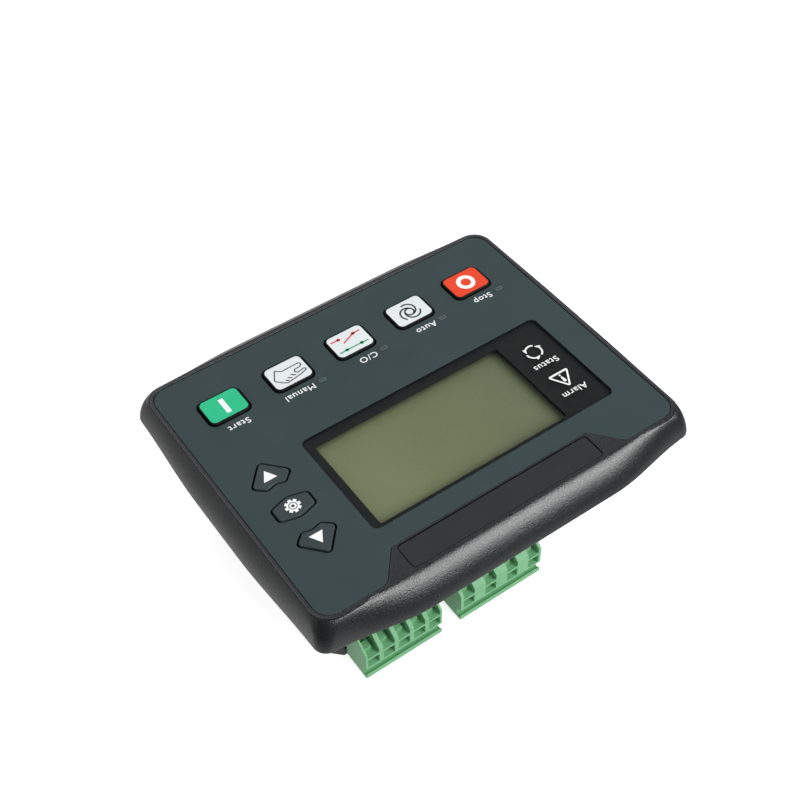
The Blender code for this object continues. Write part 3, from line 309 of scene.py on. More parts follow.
def add_band(mesh, outer, inner, bottom, top):
    rows = [[mesh.verts.new([MM * value for value in point]) for point in level(outline, height)]
            for outline, height in ((outer, bottom), (outer, top), (inner, top), (inner, bottom))]
    count = len(outer)
    for first, second in zip(rows, rows[1:] + rows[:1]):
        for index in range(count):
            after = (index + 1) % count
            mesh.faces.new((first[index], first[after], second[after], second[index]))


def added(name, data):
    item = bpy.data.objects.new(name, data)
    bpy.context.scene.collection.objects.link(item)
    return item


def built(name, mesh):
    data = bpy.data.meshes.new(name)
    mesh.to_mesh(data)
    mesh.free()
    return added(name, data)


def make(name, shapes=(), bands=(), material=None):
    mesh = bmesh.new()
    for rings in shapes:
        add_rings(mesh, rings)
    for band in bands:
        add_band(mesh, *band)
    item = built(name, mesh)
    if material:
        item.data.materials.append(material)
    return item


def bake(item):
    bpy.context.view_layer.update()
    graph = bpy.context.evaluated_depsgraph_get()
    result = bpy.data.meshes.new_from_object(item.evaluated_get(graph))
    item.modifiers.clear()
    old, item.data = item.data, result
    bpy.data.meshes.remove(old)


def boolean(item, shapes, operation, bands=()):
    tool = make("tool", shapes, bands)
    modifier = item.modifiers.new("cut", "BOOLEAN")
    modifier.operation = operation
    modifier.solver = "EXACT"
    modifier.object = tool
    bake(item)
    bpy.data.meshes.remove(tool.data)


def carve(item, shapes, bands=()):
    boolean(item, shapes, "DIFFERENCE", bands)


def smooth(item, angle=35):
    """Smooth shading in which large flat faces stay flat."""
    item.data.shade_smooth()
    item.data.set_sharp_from_angle(angle=math.radians(angle))
    item.modifiers.new("normals", "WEIGHTED_NORMAL").keep_sharp = True
    bake(item)


def round_edges(item, width, segments):
    bevel = item.modifiers.new("round", "BEVEL")
    bevel.width = width * MM
    bevel.segments = segments
    bevel.limit_method = "ANGLE"
    bevel.angle_limit = math.radians(35)
    bake(item)


def softened(name, node, width, material, segments):
    """A finished copy of a plain solid: its edges are rounded by width."""
    mesh = bmesh.new()
    mesh.from_mesh(nodes[node].data)
    bmesh.ops.remove_doubles(mesh, verts=mesh.verts, dist=1e-6)
    bmesh.ops.dissolve_limit(mesh, angle_limit=math.radians(1), verts=mesh.verts, edges=mesh.edges)
    item = built(name, mesh)
    round_edges(item, width, segments)
    dress(item, material)
    smooth(item, 40)
    return item


def dress(item, material):
    item.data.materials.clear()
    item.data.materials.append(material)


def place(item, body, stands_for=()):
    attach(item, body)
    if stands_for:
        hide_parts(*stands_for)
    return item


# Materials

RANGE_INPUTS = ("From Min", "From Max", "To Min", "To Max")


class Look:
    """A Principled material and shorthand for the nodes that feed it."""

    def __init__(self, name, roughness=0.5, specular=0.5, metallic=0.0):
        self.material = bpy.data.materials.new(name)
        self.material.use_nodes = True
        self.tree = self.material.node_tree
        self.shader = self.tree.nodes["Principled BSDF"]
        self.shader.inputs["Roughness"].default_value = roughness
        self.shader.inputs["Specular IOR Level"].default_value = specular
        self.shader.inputs["Metallic"].default_value = metallic
        self.coordinates = self.tree.nodes.new("ShaderNodeTexCoord").outputs["Object"]

    def node(self, kind, **values):
        node = self.tree.nodes.new(kind)
        for key, value in values.items():
            setattr(node, key, value)
        return node

    def link(self, source, target):
        self.tree.links.new(source, target)

    def noise(self, scale, detail=2.0, rough=0.5, stretch=None):
        node = self.node("ShaderNodeTexNoise")
        node.inputs["Scale"].default_value = scale
        node.inputs["Detail"].default_value = detail
        node.inputs["Roughness"].default_value = rough
        source = self.coordinates
        if stretch:
            mapping = self.node("ShaderNodeMapping")
            mapping.inputs["Scale"].default_value = stretch
            self.link(source, mapping.inputs["Vector"])
            source = mapping.outputs["Vector"]
        self.link(source, node.inputs["Vector"])
        return node.outputs["Fac"]

    def ramp(self, source, stops):
        node = self.node("ShaderNodeValToRGB")
        while len(node.color_ramp.elements) < len(stops):
            node.color_ramp.elements.new(0.5)
        for element, (position, colour) in zip(node.color_ramp.elements, stops):
            element.position = position
            element.color = (*colour, 1.0)
        self.link(source, node.inputs["Fac"])
        return node.outputs["Color"]

    def range(self, source, low, high, start=0.0, end=1.0):
        node = self.node("ShaderNodeMapRange")
        for key, value in zip(RANGE_INPUTS, (start, end, low, high)):
            node.inputs[key].default_value = value
        self.link(source, node.inputs["Value"])
        return node.outputs["Result"]

    def math(self, operation, first, second):
        node = self.node("ShaderNodeMath", operation=operation)
        for index, value in enumerate((first, second)):
            if isinstance(value, float):
                node.inputs[index].default_value = value
            else:
                self.link(value, node.inputs[index])
        return node.outputs["Value"]

    def colour(self, source):
        self.link(source, self.shader.inputs["Base Color"])

    def roughness(self, source):
        self.link(source, self.shader.inputs["Roughness"])

    def bump(self, source, strength, distance):
        node = self.node("ShaderNodeBump")
        node.inputs["Strength"].default_value = strength
        node.inputs["Distance"].default_value = distance * MM
        self.link(source, node.inputs["Height"])
        previous = self.shader.inputs["Normal"].links
        if previous:
            self.link(previous[0].from_socket, node.inputs["Normal"])
        self.link(node.outputs["Normal"], self.shader.inputs["Normal"])


def shades(colour, spread):
    dark = tuple(value * (1 - spread) for value in colour)
    light = tuple(min(value * (1 + spread), 1.0) for value in colour)
    return [(0.3, dark), (0.7, light)]


def moulded(name, colour, roughness, grain=3000.0, strength=0.25, depth=0.03, spread=0.12,
            specular=0.5):
    """Moulded plastic or rubber: soft mottling, fine grain in gloss and relief."""
    look = Look(name, roughness, specular)
    look.colour(look.ramp(look.noise(90.0, 3.0), shades(colour, spread)))
    fine = look.noise(grain, 2.0, 0.6)
    look.roughness(look.range(fine, roughness - 0.06, roughness + 0.08, 0.3, 0.7))
    look.bump(fine, strength, depth)
    return look.material


def srgb(*values):
    return tuple(((value / 255 + 0.055) / 1.055) ** 2.4 for value in values)


BLACK = moulded("black_moulding", (0.0100, 0.0116, 0.0132), 0.31, 2500.0, 1.0, 0.09, 0.12, 1.0)
PANEL = moulded("slate_sheet", (0.0335, 0.054, 0.058), 0.5, 2600.0, 0.25, 0.02, 0.05, 0.35)
PLATE = moulded("satin_plate", (0.0235, 0.026, 0.029), 0.42, 2600.0, 0.2, 0.02, 0.08, 0.35)
BORDER = moulded("lens_print", (0.0145, 0.018, 0.018), 0.4, 2600.0, 0.05, 0.01, 0.05, 0.3)
KEY_BODY = moulded("key_rubber", (0.006, 0.0075, 0.008), 0.6, 3800.0, 0.2, 0.02, 0.1, 0.2)
NAV_BODY = moulded("nav_rubber", (0.037, 0.053, 0.057), 0.5, 3800.0, 0.2, 0.02, 0.08, 0.35)
RED = moulded("red_print", srgb(236, 69, 36), 0.45, 3200.0, 0.15, 0.02, 0.04, 0.35)
GREEN = moulded("green_print", srgb(44, 195, 140), 0.45, 3200.0, 0.15, 0.02, 0.04, 0.35)
WHITE = moulded("white_print", srgb(228, 233, 235), 0.45, 3200.0, 0.15, 0.02, 0.02, 0.35)
INK_WHITE = moulded("white_ink", srgb(246, 248, 248), 0.5, 4000.0, 0.1, 0.01, 0.02, 0.3)
INK_GREY = moulded("grey_ink", srgb(56, 66, 70), 0.5, 4000.0, 0.1, 0.01, 0.06, 0.3)
INK_RED = moulded("red_ink", srgb(214, 58, 46), 0.5, 4000.0, 0.1, 0.01, 0.04, 0.3)
# A lighter grey for a ring round each lamp's top: a painted edge highlight.
LAMP_EDGE_HIGHLIGHT = moulded("lamp_edge_highlight", srgb(98, 108, 110), 0.5, 4000.0, 0.1, 0.01, 0.06, 0.3)
INK_GREEN = moulded("green_ink", srgb(46, 164, 118), 0.5, 4000.0, 0.1, 0.01, 0.04, 0.3)
LAMP = moulded("smoked_lamp", (0.060, 0.078, 0.082), 0.3, 2500.0, 0.05, 0.01, 0.06, 0.4)
TERMINAL = moulded("green_polyamide", srgb(110, 170, 123), 0.45, 2200.0, 0.3, 0.03, 0.06, 0.4)
REAR = moulded("rear_moulding", (0.014, 0.015, 0.016), 0.5, 2400.0, 0.4, 0.04)
RUBBER = moulded("matt_rubber", (0.02, 0.02, 0.021), 0.75, 2600.0, 0.3, 0.03)
RELAY = moulded("blue_moulding", (0.03, 0.09, 0.30), 0.4, 2600.0, 0.2, 0.02)
SLEEVE = moulded("black_sleeve", (0.015, 0.015, 0.018), 0.3, 1800.0, 0.1, 0.02)
FERRITE = moulded("ferrite", (0.03, 0.03, 0.032), 0.6, 3000.0, 0.5, 0.04)
BLACKENED = moulded("blackened_sheet", (0.016, 0.017, 0.018), 0.5, 2600.0, 0.2, 0.02)
GUIDE = moulded("white_acrylic", (0.80, 0.81, 0.79), 0.4, 1500.0, 0.05, 0.02, 0.03)


def steel(name, colour, roughness, stretch):
    look = Look(name, roughness, 0.5, 1.0)
    lines = look.noise(900.0, 3.0, 0.6, stretch)
    look.colour(look.ramp(lines, shades(colour, 0.12)))
    look.roughness(look.range(lines, roughness - 0.08, roughness + 0.12, 0.3, 0.7))
    look.bump(lines, 0.15, 0.01)
    return look.material


SCREW_STEEL = steel("zinc_plate", (0.50, 0.51, 0.52), 0.32, (1.0, 1.0, 0.2))


def circuit(name):
    """Green solder mask with raised tracks."""
    look = Look(name, 0.35, 0.5)
    lattice = look.node("ShaderNodeTexBrick")
    lattice.inputs["Scale"].default_value = 160.0
    lattice.inputs["Mortar Size"].default_value = 0.012
    lattice.inputs["Color1"].default_value = (0.010, 0.085, 0.035, 1.0)
    lattice.inputs["Color2"].default_value = (0.013, 0.105, 0.045, 1.0)
    lattice.inputs["Mortar"].default_value = (0.035, 0.22, 0.10, 1.0)
    look.link(look.coordinates, lattice.inputs["Vector"])
    look.colour(lattice.outputs["Color"])
    look.bump(lattice.outputs["Fac"], 0.3, 0.03)
    look.roughness(look.range(look.noise(2000.0), 0.28, 0.45, 0.3, 0.7))
    return look.material


BOARD = circuit("solder_mask")


def display_material():
    """Grey-green reflective glass, with painted shading across it and the frame's shadow painted
    along its edges.
    """
    look = Look("display_cell", 0.3, 0.4)
    split = look.node("ShaderNodeSeparateXYZ")
    look.link(look.coordinates, split.inputs["Vector"])
    # The cell's colour ramps across X and is darker at both ends: painted shading.
    across = look.range(split.outputs["X"], 0.0, 1.0, -0.0340, 0.0310)
    base = look.ramp(across, [(0.0, srgb(128, 139, 108)), (0.25, srgb(131, 140, 106)),
                              (0.75, srgb(141, 151, 112)), (0.95, srgb(143, 153, 116)),
                              (1.0, srgb(136, 145, 110))])
    # Darker along the -X and -Y edges: the frame's shadow, painted into the colour.
    left = look.range(split.outputs["X"], 0.3, 1.0, -0.0348, -0.0327)
    low = look.range(split.outputs["Y"], 0.3, 1.0, -0.0049, -0.0028)
    painted_frame_shadow = look.math("MULTIPLY", left, low)
    cloud = look.range(look.noise(45.0, 2.0), 0.93, 1.0, 0.35, 0.65)
    mix = look.node("ShaderNodeMix", data_type="RGBA", blend_type="MULTIPLY")
    mix.inputs["Factor"].default_value = 1.0
    look.link(base, mix.inputs["A"])
    look.link(look.math("MULTIPLY", painted_frame_shadow, cloud), mix.inputs["B"])
    look.colour(mix.outputs["Result"])
    look.roughness(look.range(look.noise(2600.0), 0.26, 0.36, 0.3, 0.7))
    return look.material


def lens_material():
    look = Look("clear_window", 0.12, 0.5)
    look.colour(look.ramp(look.noise(120.0), [(0.3, (0.010, 0.011, 0.011)),
                                              (0.7, (0.014, 0.015, 0.015))]))
    look.roughness(look.range(look.noise(1500.0), 0.13, 0.15, 0.3, 0.7))
    look.shader.inputs["Alpha"].default_value = 0.10
    return look.material


# Front

def bezel_rings():
    side = RIM_TOP - BEZEL_BOTTOM
    rings = []
    for step in range(5):
        angle = math.radians(90 * step / 4)
        rings.append(level(bezel_outline(1.0, 0.45 * (1 - math.sin(angle))),
                           BEZEL_BOTTOM + 0.45 * (1 - math.cos(angle))))
    steps = 26
    for step in range(steps - 1, -1, -1):
        theta = math.radians(90 * step / steps)
        spread = math.sin(theta) ** (2 / ROUND_POWER)
        drop = 1 - math.cos(theta) ** (2 / ROUND_POWER)
        if side * drop < side - 0.6:
            rings.append(level(bezel_outline(spread), RIM_TOP - side * drop))
    return rings


def crease():
    """A fine groove outside the rim and the bead's slope into it, left out along the brow."""
    outer, inner, crest = (bezel_outline(0.0, inset) for inset in (-0.42, -0.12, 0.38))
    count = len(outer)
    brow_side, brow_end = 40, NOTCH_EDGE + 2

    def on_brow(index):
        return outer[index][1] > brow_side and abs(outer[index][0]) <= brow_end

    start = next(index for index in range(count) if on_brow(index - 1) and not on_brow(index))
    order = [(start + step) % count for step in range(count)]
    order = [index for index in order if not on_brow(index)]

    def tapered(points, index):
        """A point that closes on the groove's inner edge where the groove meets the brow."""
        (x, y), (end_x, end_y) = inner[index], points[index]
        share = smooth_step((abs(x) - brow_end) / 9) if y > brow_side else 1.0
        share = 0.1 + 0.9 * share
        return x + (end_x - x) * share, y + (end_y - y) * share

    groove = [tapered(outer, i) for i in order]
    narrow = [inner[i] for i in reversed(order)] + groove
    wide = [tapered(crest, i) for i in reversed(order)] + groove
    return [level(narrow, RIM_TOP - 0.45), level(narrow, RIM_TOP - 0.17),
            level(wide, RIM_TOP + 0.01), level(wide, RIM_TOP + 1)]


def front_bezel():
    bezel = make("bezel", [bezel_rings()], material=BLACK)
    opening = rounded_rectangle((2 * OPENING_HALF[0], 2 * OPENING_HALF[1]), 1.5)
    gasket_groove = (bezel_outline(1.0, 1.6), bezel_outline(1.0, 3.6),
                     BEZEL_BOTTOM - 1, BEZEL_BOTTOM + 0.6)
    carve(bezel, [prism(opening, BEZEL_BOTTOM - 5, WALL_BOTTOM)], [gasket_groove])
    feet = [(spot, BOARD_TOP + GAP) for spot in BOARD_SCREWS]
    feet += [(spot, FLANGE_TOP + 2 * GAP) for spot in CASE_SCREWS]
    root = WALL_BOTTOM + 0.9
    bosses = [turned([(BOSS_RADIUS, foot), (BOSS_RADIUS, root)], spot) for spot, foot in feet]
    boolean(bezel, bosses, "UNION")
    carve(bezel, [flared(panel_outline, (0, 0), WALL_TOP, RIM_TOP, 0.15, 0.2)])
    carve(bezel, [crease()])

    below = WALL_BOTTOM - 1
    cuts = [flared(plate_outline, (0, 0), RIM_TOP - PLATE_RECESS, RIM_TOP, 0.03, 0.25, 2),
            prism(lens_outline(0.2), LENS_BOTTOM - GAP, ABOVE)]
    cuts += [prism(moved(outline(room), centre), below, ABOVE)
             for (centre, outline, _), room in zip(KEYS.values(), KEY_ROOM)]
    cuts += [prism(rectangle(grown(LAMP_SIZE, GAP), spot), below, ABOVE)
             for spot in LAMP_PLACES.values()]
    carve(bezel, cuts)
    view = rounded_rectangle((66.8, 35.8), 1.0, (-1.5, 12.6))
    cuts = [prism(view, below, LENS_BOTTOM + 1)]
    cuts += [turned([(LENS_LAMP_HOLE, below), (LENS_LAMP_HOLE, LENS_BOTTOM)], spot)
             for spot in LENS_LAMPS.values()]
    cuts += [turned([(PILOT_RADIUS, FLANGE_TOP - 1), (PILOT_RADIUS, WALL_BOTTOM + 0.2)], spot)
             for spot in BOARD_SCREWS + CASE_SCREWS]
    carve(bezel, cuts)
    smooth(bezel, 32)
    place(bezel, "case", ["front_bezel"])


def face_sheet():
    body = crowned(panel_outline, PANEL_BOTTOM, FACE, 0.12, 3)
    sheet = make("face_sheet", [body], material=PANEL)
    below = PANEL_BOTTOM - 2
    cuts = [flared(outline, centre, below, FACE, 0.1, room - 0.05, 3)
            for (centre, outline, _), room in zip(KEYS.values(), KEY_ROOM)]
    cuts.append(flared(lens_outline, (0, 0), below, FACE, 0.1, 0.12, 3))
    cuts += [prism(rectangle(grown(LAMP_SIZE, 0.1), spot), below, ABOVE)
             for spot in LAMP_PLACES.values()]
    carve(sheet, cuts)
    smooth(sheet, 32)
    place(sheet, "case", ["face_panel"])


def plate_and_lens():
    inlay = make("plate_inlay", [crowned(plate_outline, PLATE_BOTTOM, PLATE_TOP, 0.1, 3, -0.05)],
                 material=PLATE)
    smooth(inlay)
    place(inlay, "case", ["nameplate"])

    window = make("lens_plate", [crowned(lens_outline, LENS_TOP - LENS_SHEET, LENS_TOP, 0.1, 3)],
                  material=lens_material())
    smooth(window)
    place(window, "case", ["display_lens"])
    left, right, low, high = WINDOW
    middle = ((left + right) / 2, (low + high) / 2)
    opening = rounded_rectangle((right - left, high - low), 0.8, middle)
    band = (lens_outline(-0.05), opening, LENS_BOTTOM + 0.02, LENS_TOP - LENS_SHEET - 0.05)
    place(make("lens_border", bands=[band], material=BORDER), "case")


front_bezel()
face_sheet()
plate_and_lens()
dress(nodes["display_glass"], display_material())


# Prints: thin plates in ink

LETTER_HEIGHT = 2.06
CAPITAL_SHARE = 0.70


def ribbon(points, width, closed=False):
    """Left and right outlines of a line of this width."""
    left, right = [], []
    count = len(points)
    for index, point in enumerate(points):
        before = points[index - 1] if closed or index else None
        after = points[(index + 1) % count] if closed or index < count - 1 else None
        normals = []
        for start, end in ((before, point), (point, after)):
            if start and end:
                length = math.dist(start, end)
                normals.append(((start[1] - end[1]) / length, (end[0] - start[0]) / length))
        if len(normals) == 1:
            normals *= 2
        (ax, ay), (bx, by) = normals
        share = width / 2 / max(1 + ax * bx + ay * by, 0.4)
        left.append((point[0] + (ax + bx) * share, point[1] + (ay + by) * share))
        right.append((point[0] - (ax + bx) * share, point[1] - (ay + by) * share))
    return left, right


def line(points, width):
    left, right = ribbon(points, width)
    return right + list(reversed(left))


def loop(points, width):
    left, right = ribbon(points, width, closed=True)
    return right, left


def inked(name, body, centre, bottom, material, shapes=(), loops=(), thickness=0.02):
    top = bottom + thickness
    bands = [(moved(outer, centre), moved(inner, centre), bottom, top) for outer, inner in loops]
    plates = [prism(moved(shape, centre), bottom, top) for shape in shapes]
    place(make(name, plates, bands, material), body)


def lettering(text, centre, bottom):
    name = "label_" + text.replace("/", "_")
    curve = bpy.data.curves.new(name, "FONT")
    curve.body = text
    curve.size = LETTER_HEIGHT / CAPITAL_SHARE * MM
    curve.align_x = "CENTER"
    curve.align_y = "CENTER"
    curve.offset = 0.011 * LETTER_HEIGHT * MM
    curve.space_character = 1.12
    curve.extrude = 0.01 * MM
    item = added(name, curve)
    item.location = (centre[0] * MM, centre[1] * MM, (bottom + 0.01) * MM)
    item.scale = (1.06, 1.0, 1.0)
    bpy.context.view_layer.update()
    graph = bpy.context.evaluated_depsgraph_get()
    data = bpy.data.meshes.new_from_object(item.evaluated_get(graph))
    data.transform(item.matrix_world)
    bpy.data.objects.remove(item, do_unlink=True)
    item = added(name, data)
    dress(item, INK_WHITE)
    place(item, "case")


for label, x in (("Stop", -42.5), ("Auto", -21.4), ("C/O", -0.5), ("Manual", 22.9),
                 ("Start", 43.0)):
    lettering(label, (x, -21.6), FACE)
for label, y in (("Alarm", 23.6), ("Status", 10.8)):
    lettering(label, (-40.6, y), LENS_TOP)


def warning_sign():
    outer = rounded_polygon([(-3.75, -2.5), (3.75, -2.5), (0.0, 3.85)], [0.55] * 3)
    inner = rounded_polygon([(-2.75, -1.85), (2.75, -1.85), (0.0, 2.8)], [0.15] * 3)
    mark = [(-0.25, -0.6), (0.25, -0.6), (0.5, 1.15), (0.34, 1.5), (-0.34, 1.5), (-0.5, 1.15)]
    dot = circle(0.32, (0.03, -1.25))
    inked("alarm_sign", "case", LENS_LAMPS["alarm"], LENS_TOP, INK_WHITE, [mark, dot],
          [(outer, inner)])


def status_sign():
    """Three arrows that chase each other round a ring."""
    def polar(radius, degrees):
        angle = math.radians(degrees)
        return radius * math.cos(angle), radius * math.sin(angle)

    shapes = []
    for turn in (-47, 73, 193):
        shapes.append(line(arc((0, 0), 2.5, turn - 74, 74, 14), 0.52))
        shapes.append([polar(2.2, turn), polar(3.35, turn), polar(3.0, turn + 12),
                       polar(2.2, turn + 37)])
    inked("status_sign", "case", (-40.57, 5.1), LENS_TOP, INK_WHITE, shapes)


warning_sign()
status_sign()


# Keys

KEY_COLOURS = {"stop": RED, "auto": WHITE, "changeover": WHITE, "manual": WHITE, "start": GREEN}
PLUNGER_GROWTH, PLUNGER_FOOT = -2.2, 36.1
FLANGE_GROWTH, FLANGE_RANGE = 1.1, (38.0, 39.0)
CAP_SIZE = (11.9, 8.9)
CAP_CORNER = 1.5
CAP_SINK = 0.012
CAP_SHEET = 0.019
PRINT_TOP = KEY_TOP - CAP_SINK


def key_body(name):
    """Plunger, flange and crown, with a printed cap on the main keys."""
    centre, outline, top = KEYS[name]
    main = name in KEY_PLACES

    def here(grow):
        return moved(outline(grow), centre)

    low, high = FLANGE_RANGE
    rings = prism(here(PLUNGER_GROWTH), PLUNGER_FOOT, low) + prism(here(FLANGE_GROWTH), low, high)
    rings += [level(here(0.0), high)]
    rings += crowned(here, high + 0.2, top - 0.03, 0.42 if main else 0.3)
    body = make(name + "_button", [rings], material=KEY_BODY if main else NAV_BODY)
    smooth(body)
    place(body, name, [name + "_key"])
    if main:
        cap = rounded_rectangle(CAP_SIZE, CAP_CORNER, centre)
        place(make(name + "_print", [prism(cap, PRINT_TOP - CAP_SHEET, PRINT_TOP)],
                   material=KEY_COLOURS[name]), name)


for key in KEYS:
    key_body(key)



def key_sign(name, key, material, shapes=(), loops=()):
    inked(name, key, KEYS[key][0], PRINT_TOP, material, shapes, loops)


def auto_sign():
    """A ring with three arms that curl out of it."""
    shapes = []
    for tip in (46, 166, 288):
        points = []
        for step in range(21):
            back = 185 * (1 - step / 20)
            radius = 2.36 + 0.97 * math.cos(math.radians(max(back - 10, 0)))
            angle = math.radians(tip - back)
            points.append((radius * math.cos(angle), 0.3 + radius * math.sin(angle)))
        shapes.append(line(points, 0.55))
    ring = (circle(1.66, (0.0, 0.3)), circle(1.12, (0.0, 0.3)))
    key_sign("auto_sign", "auto", INK_GREY, shapes, [ring])


def changeover_sign():
    def dot(x, y):
        return circle(0.6, (x, y), 20)

    def wire(*points):
        return line(points, 0.46)

    key_sign("mains_sign", "changeover", INK_RED,
             [wire((5.2, -2.4), (2.55, -2.4)), dot(2.5, -2.4),
              wire((1.85, -0.3), (-2.5, -2.2), (-4.9, -2.35)), dot(-2.5, -2.2)])
    key_sign("generator_sign", "changeover", INK_GREEN,
             [wire((5.15, 2.65), (2.6, 2.5), (-2.6, 2.5), (-4.9, 2.6)),
              dot(2.6, 2.5), dot(-2.6, 2.5)])


def manual_sign():
    """A hand that points, with three bent fingers."""
    hand = [(3.0, -2.75), (1.4, -1.5), (-4.25, -1.65), (-4.75, -1.3), (-4.7, -0.6), (-4.0, -0.1),
            (-2.15, 0.0), (-1.75, 0.65), (-2.35, 1.5), (-4.7, 1.05), (-5.1, 1.45), (-4.95, 1.9),
            (-2.6, 2.65), (-1.9, 2.7), (-0.2, 3.0), (2.05, 3.35), (3.15, 2.65), (4.85, 0.85),
            (4.85, 0.4)]
    folds = [line(points, 0.4) for points in ([(-0.2, 1.0), (-0.75, 1.6), (-1.5, 1.95)],
                                              [(1.1, 1.5), (0.6, 2.05), (0.0, 2.35)],
                                              [(2.1, 2.15), (1.75, 2.55), (1.3, 2.8)])]
    key_sign("manual_sign", "manual", INK_GREY, folds, [loop(hand, 0.34)])


key_sign("stop_sign", "stop", INK_WHITE, loops=[(circle(2.98, steps=48), circle(1.6, steps=48))])
key_sign("start_sign", "start", INK_WHITE, [rectangle((1.5, 5.8), (-0.2, 0.2))])
auto_sign()
changeover_sign()
manual_sign()

NAV_PRINT = NAV_TOP - 0.03
arrow = [(-2.05, -1.73), (2.05, -1.73), (0.0, 1.83)]
inked("up_sign", "up", (NAV_X + 0.05, NAV_Y + 12.6), NAV_PRINT, INK_WHITE, [arrow])
inked("down_sign", "down", (NAV_X + 0.25, NAV_Y - 12.85), NAV_PRINT, INK_WHITE,
      [[(x, -y) for x, y in arrow[::-1]]])


def gear_sign():
    points = []
    for tooth in range(8):
        for radius, offset in ((1.74, -15), (2.32, -12.5), (2.32, 12.5), (1.74, 15)):
            angle = math.radians(45 * tooth + offset)
            points.append((radius * math.cos(angle), radius * math.sin(angle)))
    centre = (NAV_X + 0.1, NAV_Y - 0.1)
    inked("set_sign", "set", centre, NAV_PRINT, INK_WHITE, [points])
    inked("set_sign_hub", "set", centre, NAV_PRINT + 0.02, NAV_BODY, [circle(0.48)],
          [(circle(1.24), circle(0.98))], 0.008)


gear_sign()


# Lamps

for name, spot in LAMP_PLACES.items():
    dress(nodes[name + "_lamp"], LAMP)
    # Each lamp's top gets a lighter ring along its edge: a painted edge highlight.
    rim = [rectangle(grown(LAMP_SIZE, -inset)) for inset in (0.03, 0.25)]
    lamp_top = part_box(name + "_lamp")[1][2] / MM
    inked(name + "_lamp_edge_highlight", "case", spot, lamp_top, LAMP_EDGE_HIGHLIGHT, loops=[rim])
for name in LENS_LAMPS:
    dress(nodes[name + "_lamp"], GUIDE)


# Rear

place(softened("shell", "rear_shell", 0.35, REAR, 3), "case", ["rear_shell"])


def across(x, y_range, z_range, size):
    """A box: its middle and size along X, its ranges along Y and Z."""
    return prism(rectangle((size, abs(y_range[1] - y_range[0])), (x, sum(y_range) / 2)), *z_range)


def bore(x, y_range, z, radius, steps=16):
    """A round cutter along Y."""
    ring = circle(radius, (x, z), steps)
    return [[(along, y, height) for along, height in ring[::-1]] for y in sorted(y_range)]


def plug_section(side):
    """A plug's section across the row: foot rail, sloped front and the tongue in its header."""
    face, back, low, top = PLUG_FACE, PLUG_BACK, PLUG_BOTTOM, PLUG_TOP
    rail = [(back, low), (face - 0.3, low), (face, low + 0.3), (face, low + 1.7),
            (face - 0.15, low + 1.85), (face - 0.45, low + 1.85), (face - 0.8, low + 1.1),
            (face - 1.9, low + 1.1)]
    front = [(face - 1.9, low + 4.0), (face - 0.5, low + 4.5), (face, low + 4.8),
             (face, top - 3.6), (face - 3.6, top - 0.5), (face - 4.6, top), (back, top)]
    tongue_bottom, tongue_top = PLUG_TONGUE_RANGE
    tongue = [(back, tongue_top), (PLUG_TONGUE, tongue_top), (PLUG_TONGUE, tongue_bottom),
              (back, tongue_bottom)]
    return [(side * y, z) for y, z in rail + front + tongue]


def plug_block(name, poles, pitch, centre, side):
    """A pluggable terminal: wire mouths with clamp rings, and open screw boxes over them."""
    half = ((poles - PLUG_END_SHARE) * pitch + PLUG_ENDS) / 2
    body = [[(centre + end * half, y, z) for y, z in plug_section(side)] for end in (-1, 1)]
    if side < 0:
        body = [ring[::-1] for ring in body]
    item = make(name, [body], material=TERMINAL)

    def block(x, start, end, z_range, size):
        return across(x, (side * start, side * end), z_range, size)

    def hole(x, start, end, radius):
        return bore(x, (side * start, side * end), mouth + 1.5, radius)

    face, mouth, (width, height) = PLUG_FACE, MOUTH_BOTTOM, MOUTH_SIZE
    inner = (PLUG_BOTTOM + 1, PLUG_TOP - 1)
    carve(item, [block(centre + end * half, PLUG_TONGUE - 1, PLUG_BACK, inner, 3.0)
                 for end in (-1, 1)])
    places = [centre + (index - (poles - 1) / 2) * pitch for index in range(poles)]
    mouths = [block(x, face - 1.9, face + 1, (mouth, mouth + height), width) for x in places]
    boxes = [block(x, face - 6.0, face + 1, (mouth + 4.2, PLUG_TOP + 1), width) for x in places]
    sockets, clamps = [], []
    for x in places:
        well = [(WELL_RADIUS, PLUG_BOTTOM - 1), (WELL_RADIUS, PLUG_BOTTOM + 2.5)]
        sockets += [block(x, PLUG_TONGUE - 1, PLUG_TONGUE + 7, (7.6, 10.0), 2.4),
                    turned(well, (x, side * (face - 4.4)), 20)]
        clamps += [block(x + 0.35, face - 4.6, face - 2.2, (mouth + 4, mouth + 6), CLAMP_WIDTH),
                   hole(x, face - 2.1, face - 1.6, RING_RADIUS)]
    carve(item, mouths + boxes + sockets)
    boolean(item, clamps, "UNION")
    carve(item, [hole(x, face - 3.2, face - 1.4, RING_HOLE) for x in places])
    round_edges(item, 0.12, 2)
    smooth(item, 40)
    place(item, "case", [name.replace("_block", "_plug")])


for name, pitch, side in (("upper_right", 5.08, 1), ("upper_middle", 7.62, 1),
                          ("lower_left", 5.08, -1), ("lower_right", 5.08, -1)):
    low_end, high_end = (corner[0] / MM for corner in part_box(name + "_plug"))
    poles = round((high_end - low_end - PLUG_ENDS) / pitch + PLUG_END_SHARE)
    plug_block(name + "_block", poles, pitch, (low_end + high_end) / 2, side)
    dress(nodes[name + "_header"], TERMINAL)

CARRIED = {"display_frame": BLACKENED, "display_backlight": GUIDE, "keypad_mat": RUBBER,
           "display_board": BOARD, "main_board": BOARD, "board_header": SLEEVE,
           "processor": SLEEVE, "inductor": FERRITE, "panel_gasket": RUBBER}
CARRIED.update({f"relay_{i}": RELAY for i in range(1, 6)})
CARRIED.update({f"current_transformer_{i}": RELAY for i in range(1, 4)})
CARRIED.update({f"capacitor_{i}": SLEEVE for i in (1, 2)})
CARRIED.update({f"{kind}_screw_{i}": SCREW_STEEL for kind in ("board", "main_board", "case")
                for i in range(1, 5)})
for name, material in CARRIED.items():
    dress(nodes[name], material)


# Floor, lights and camera

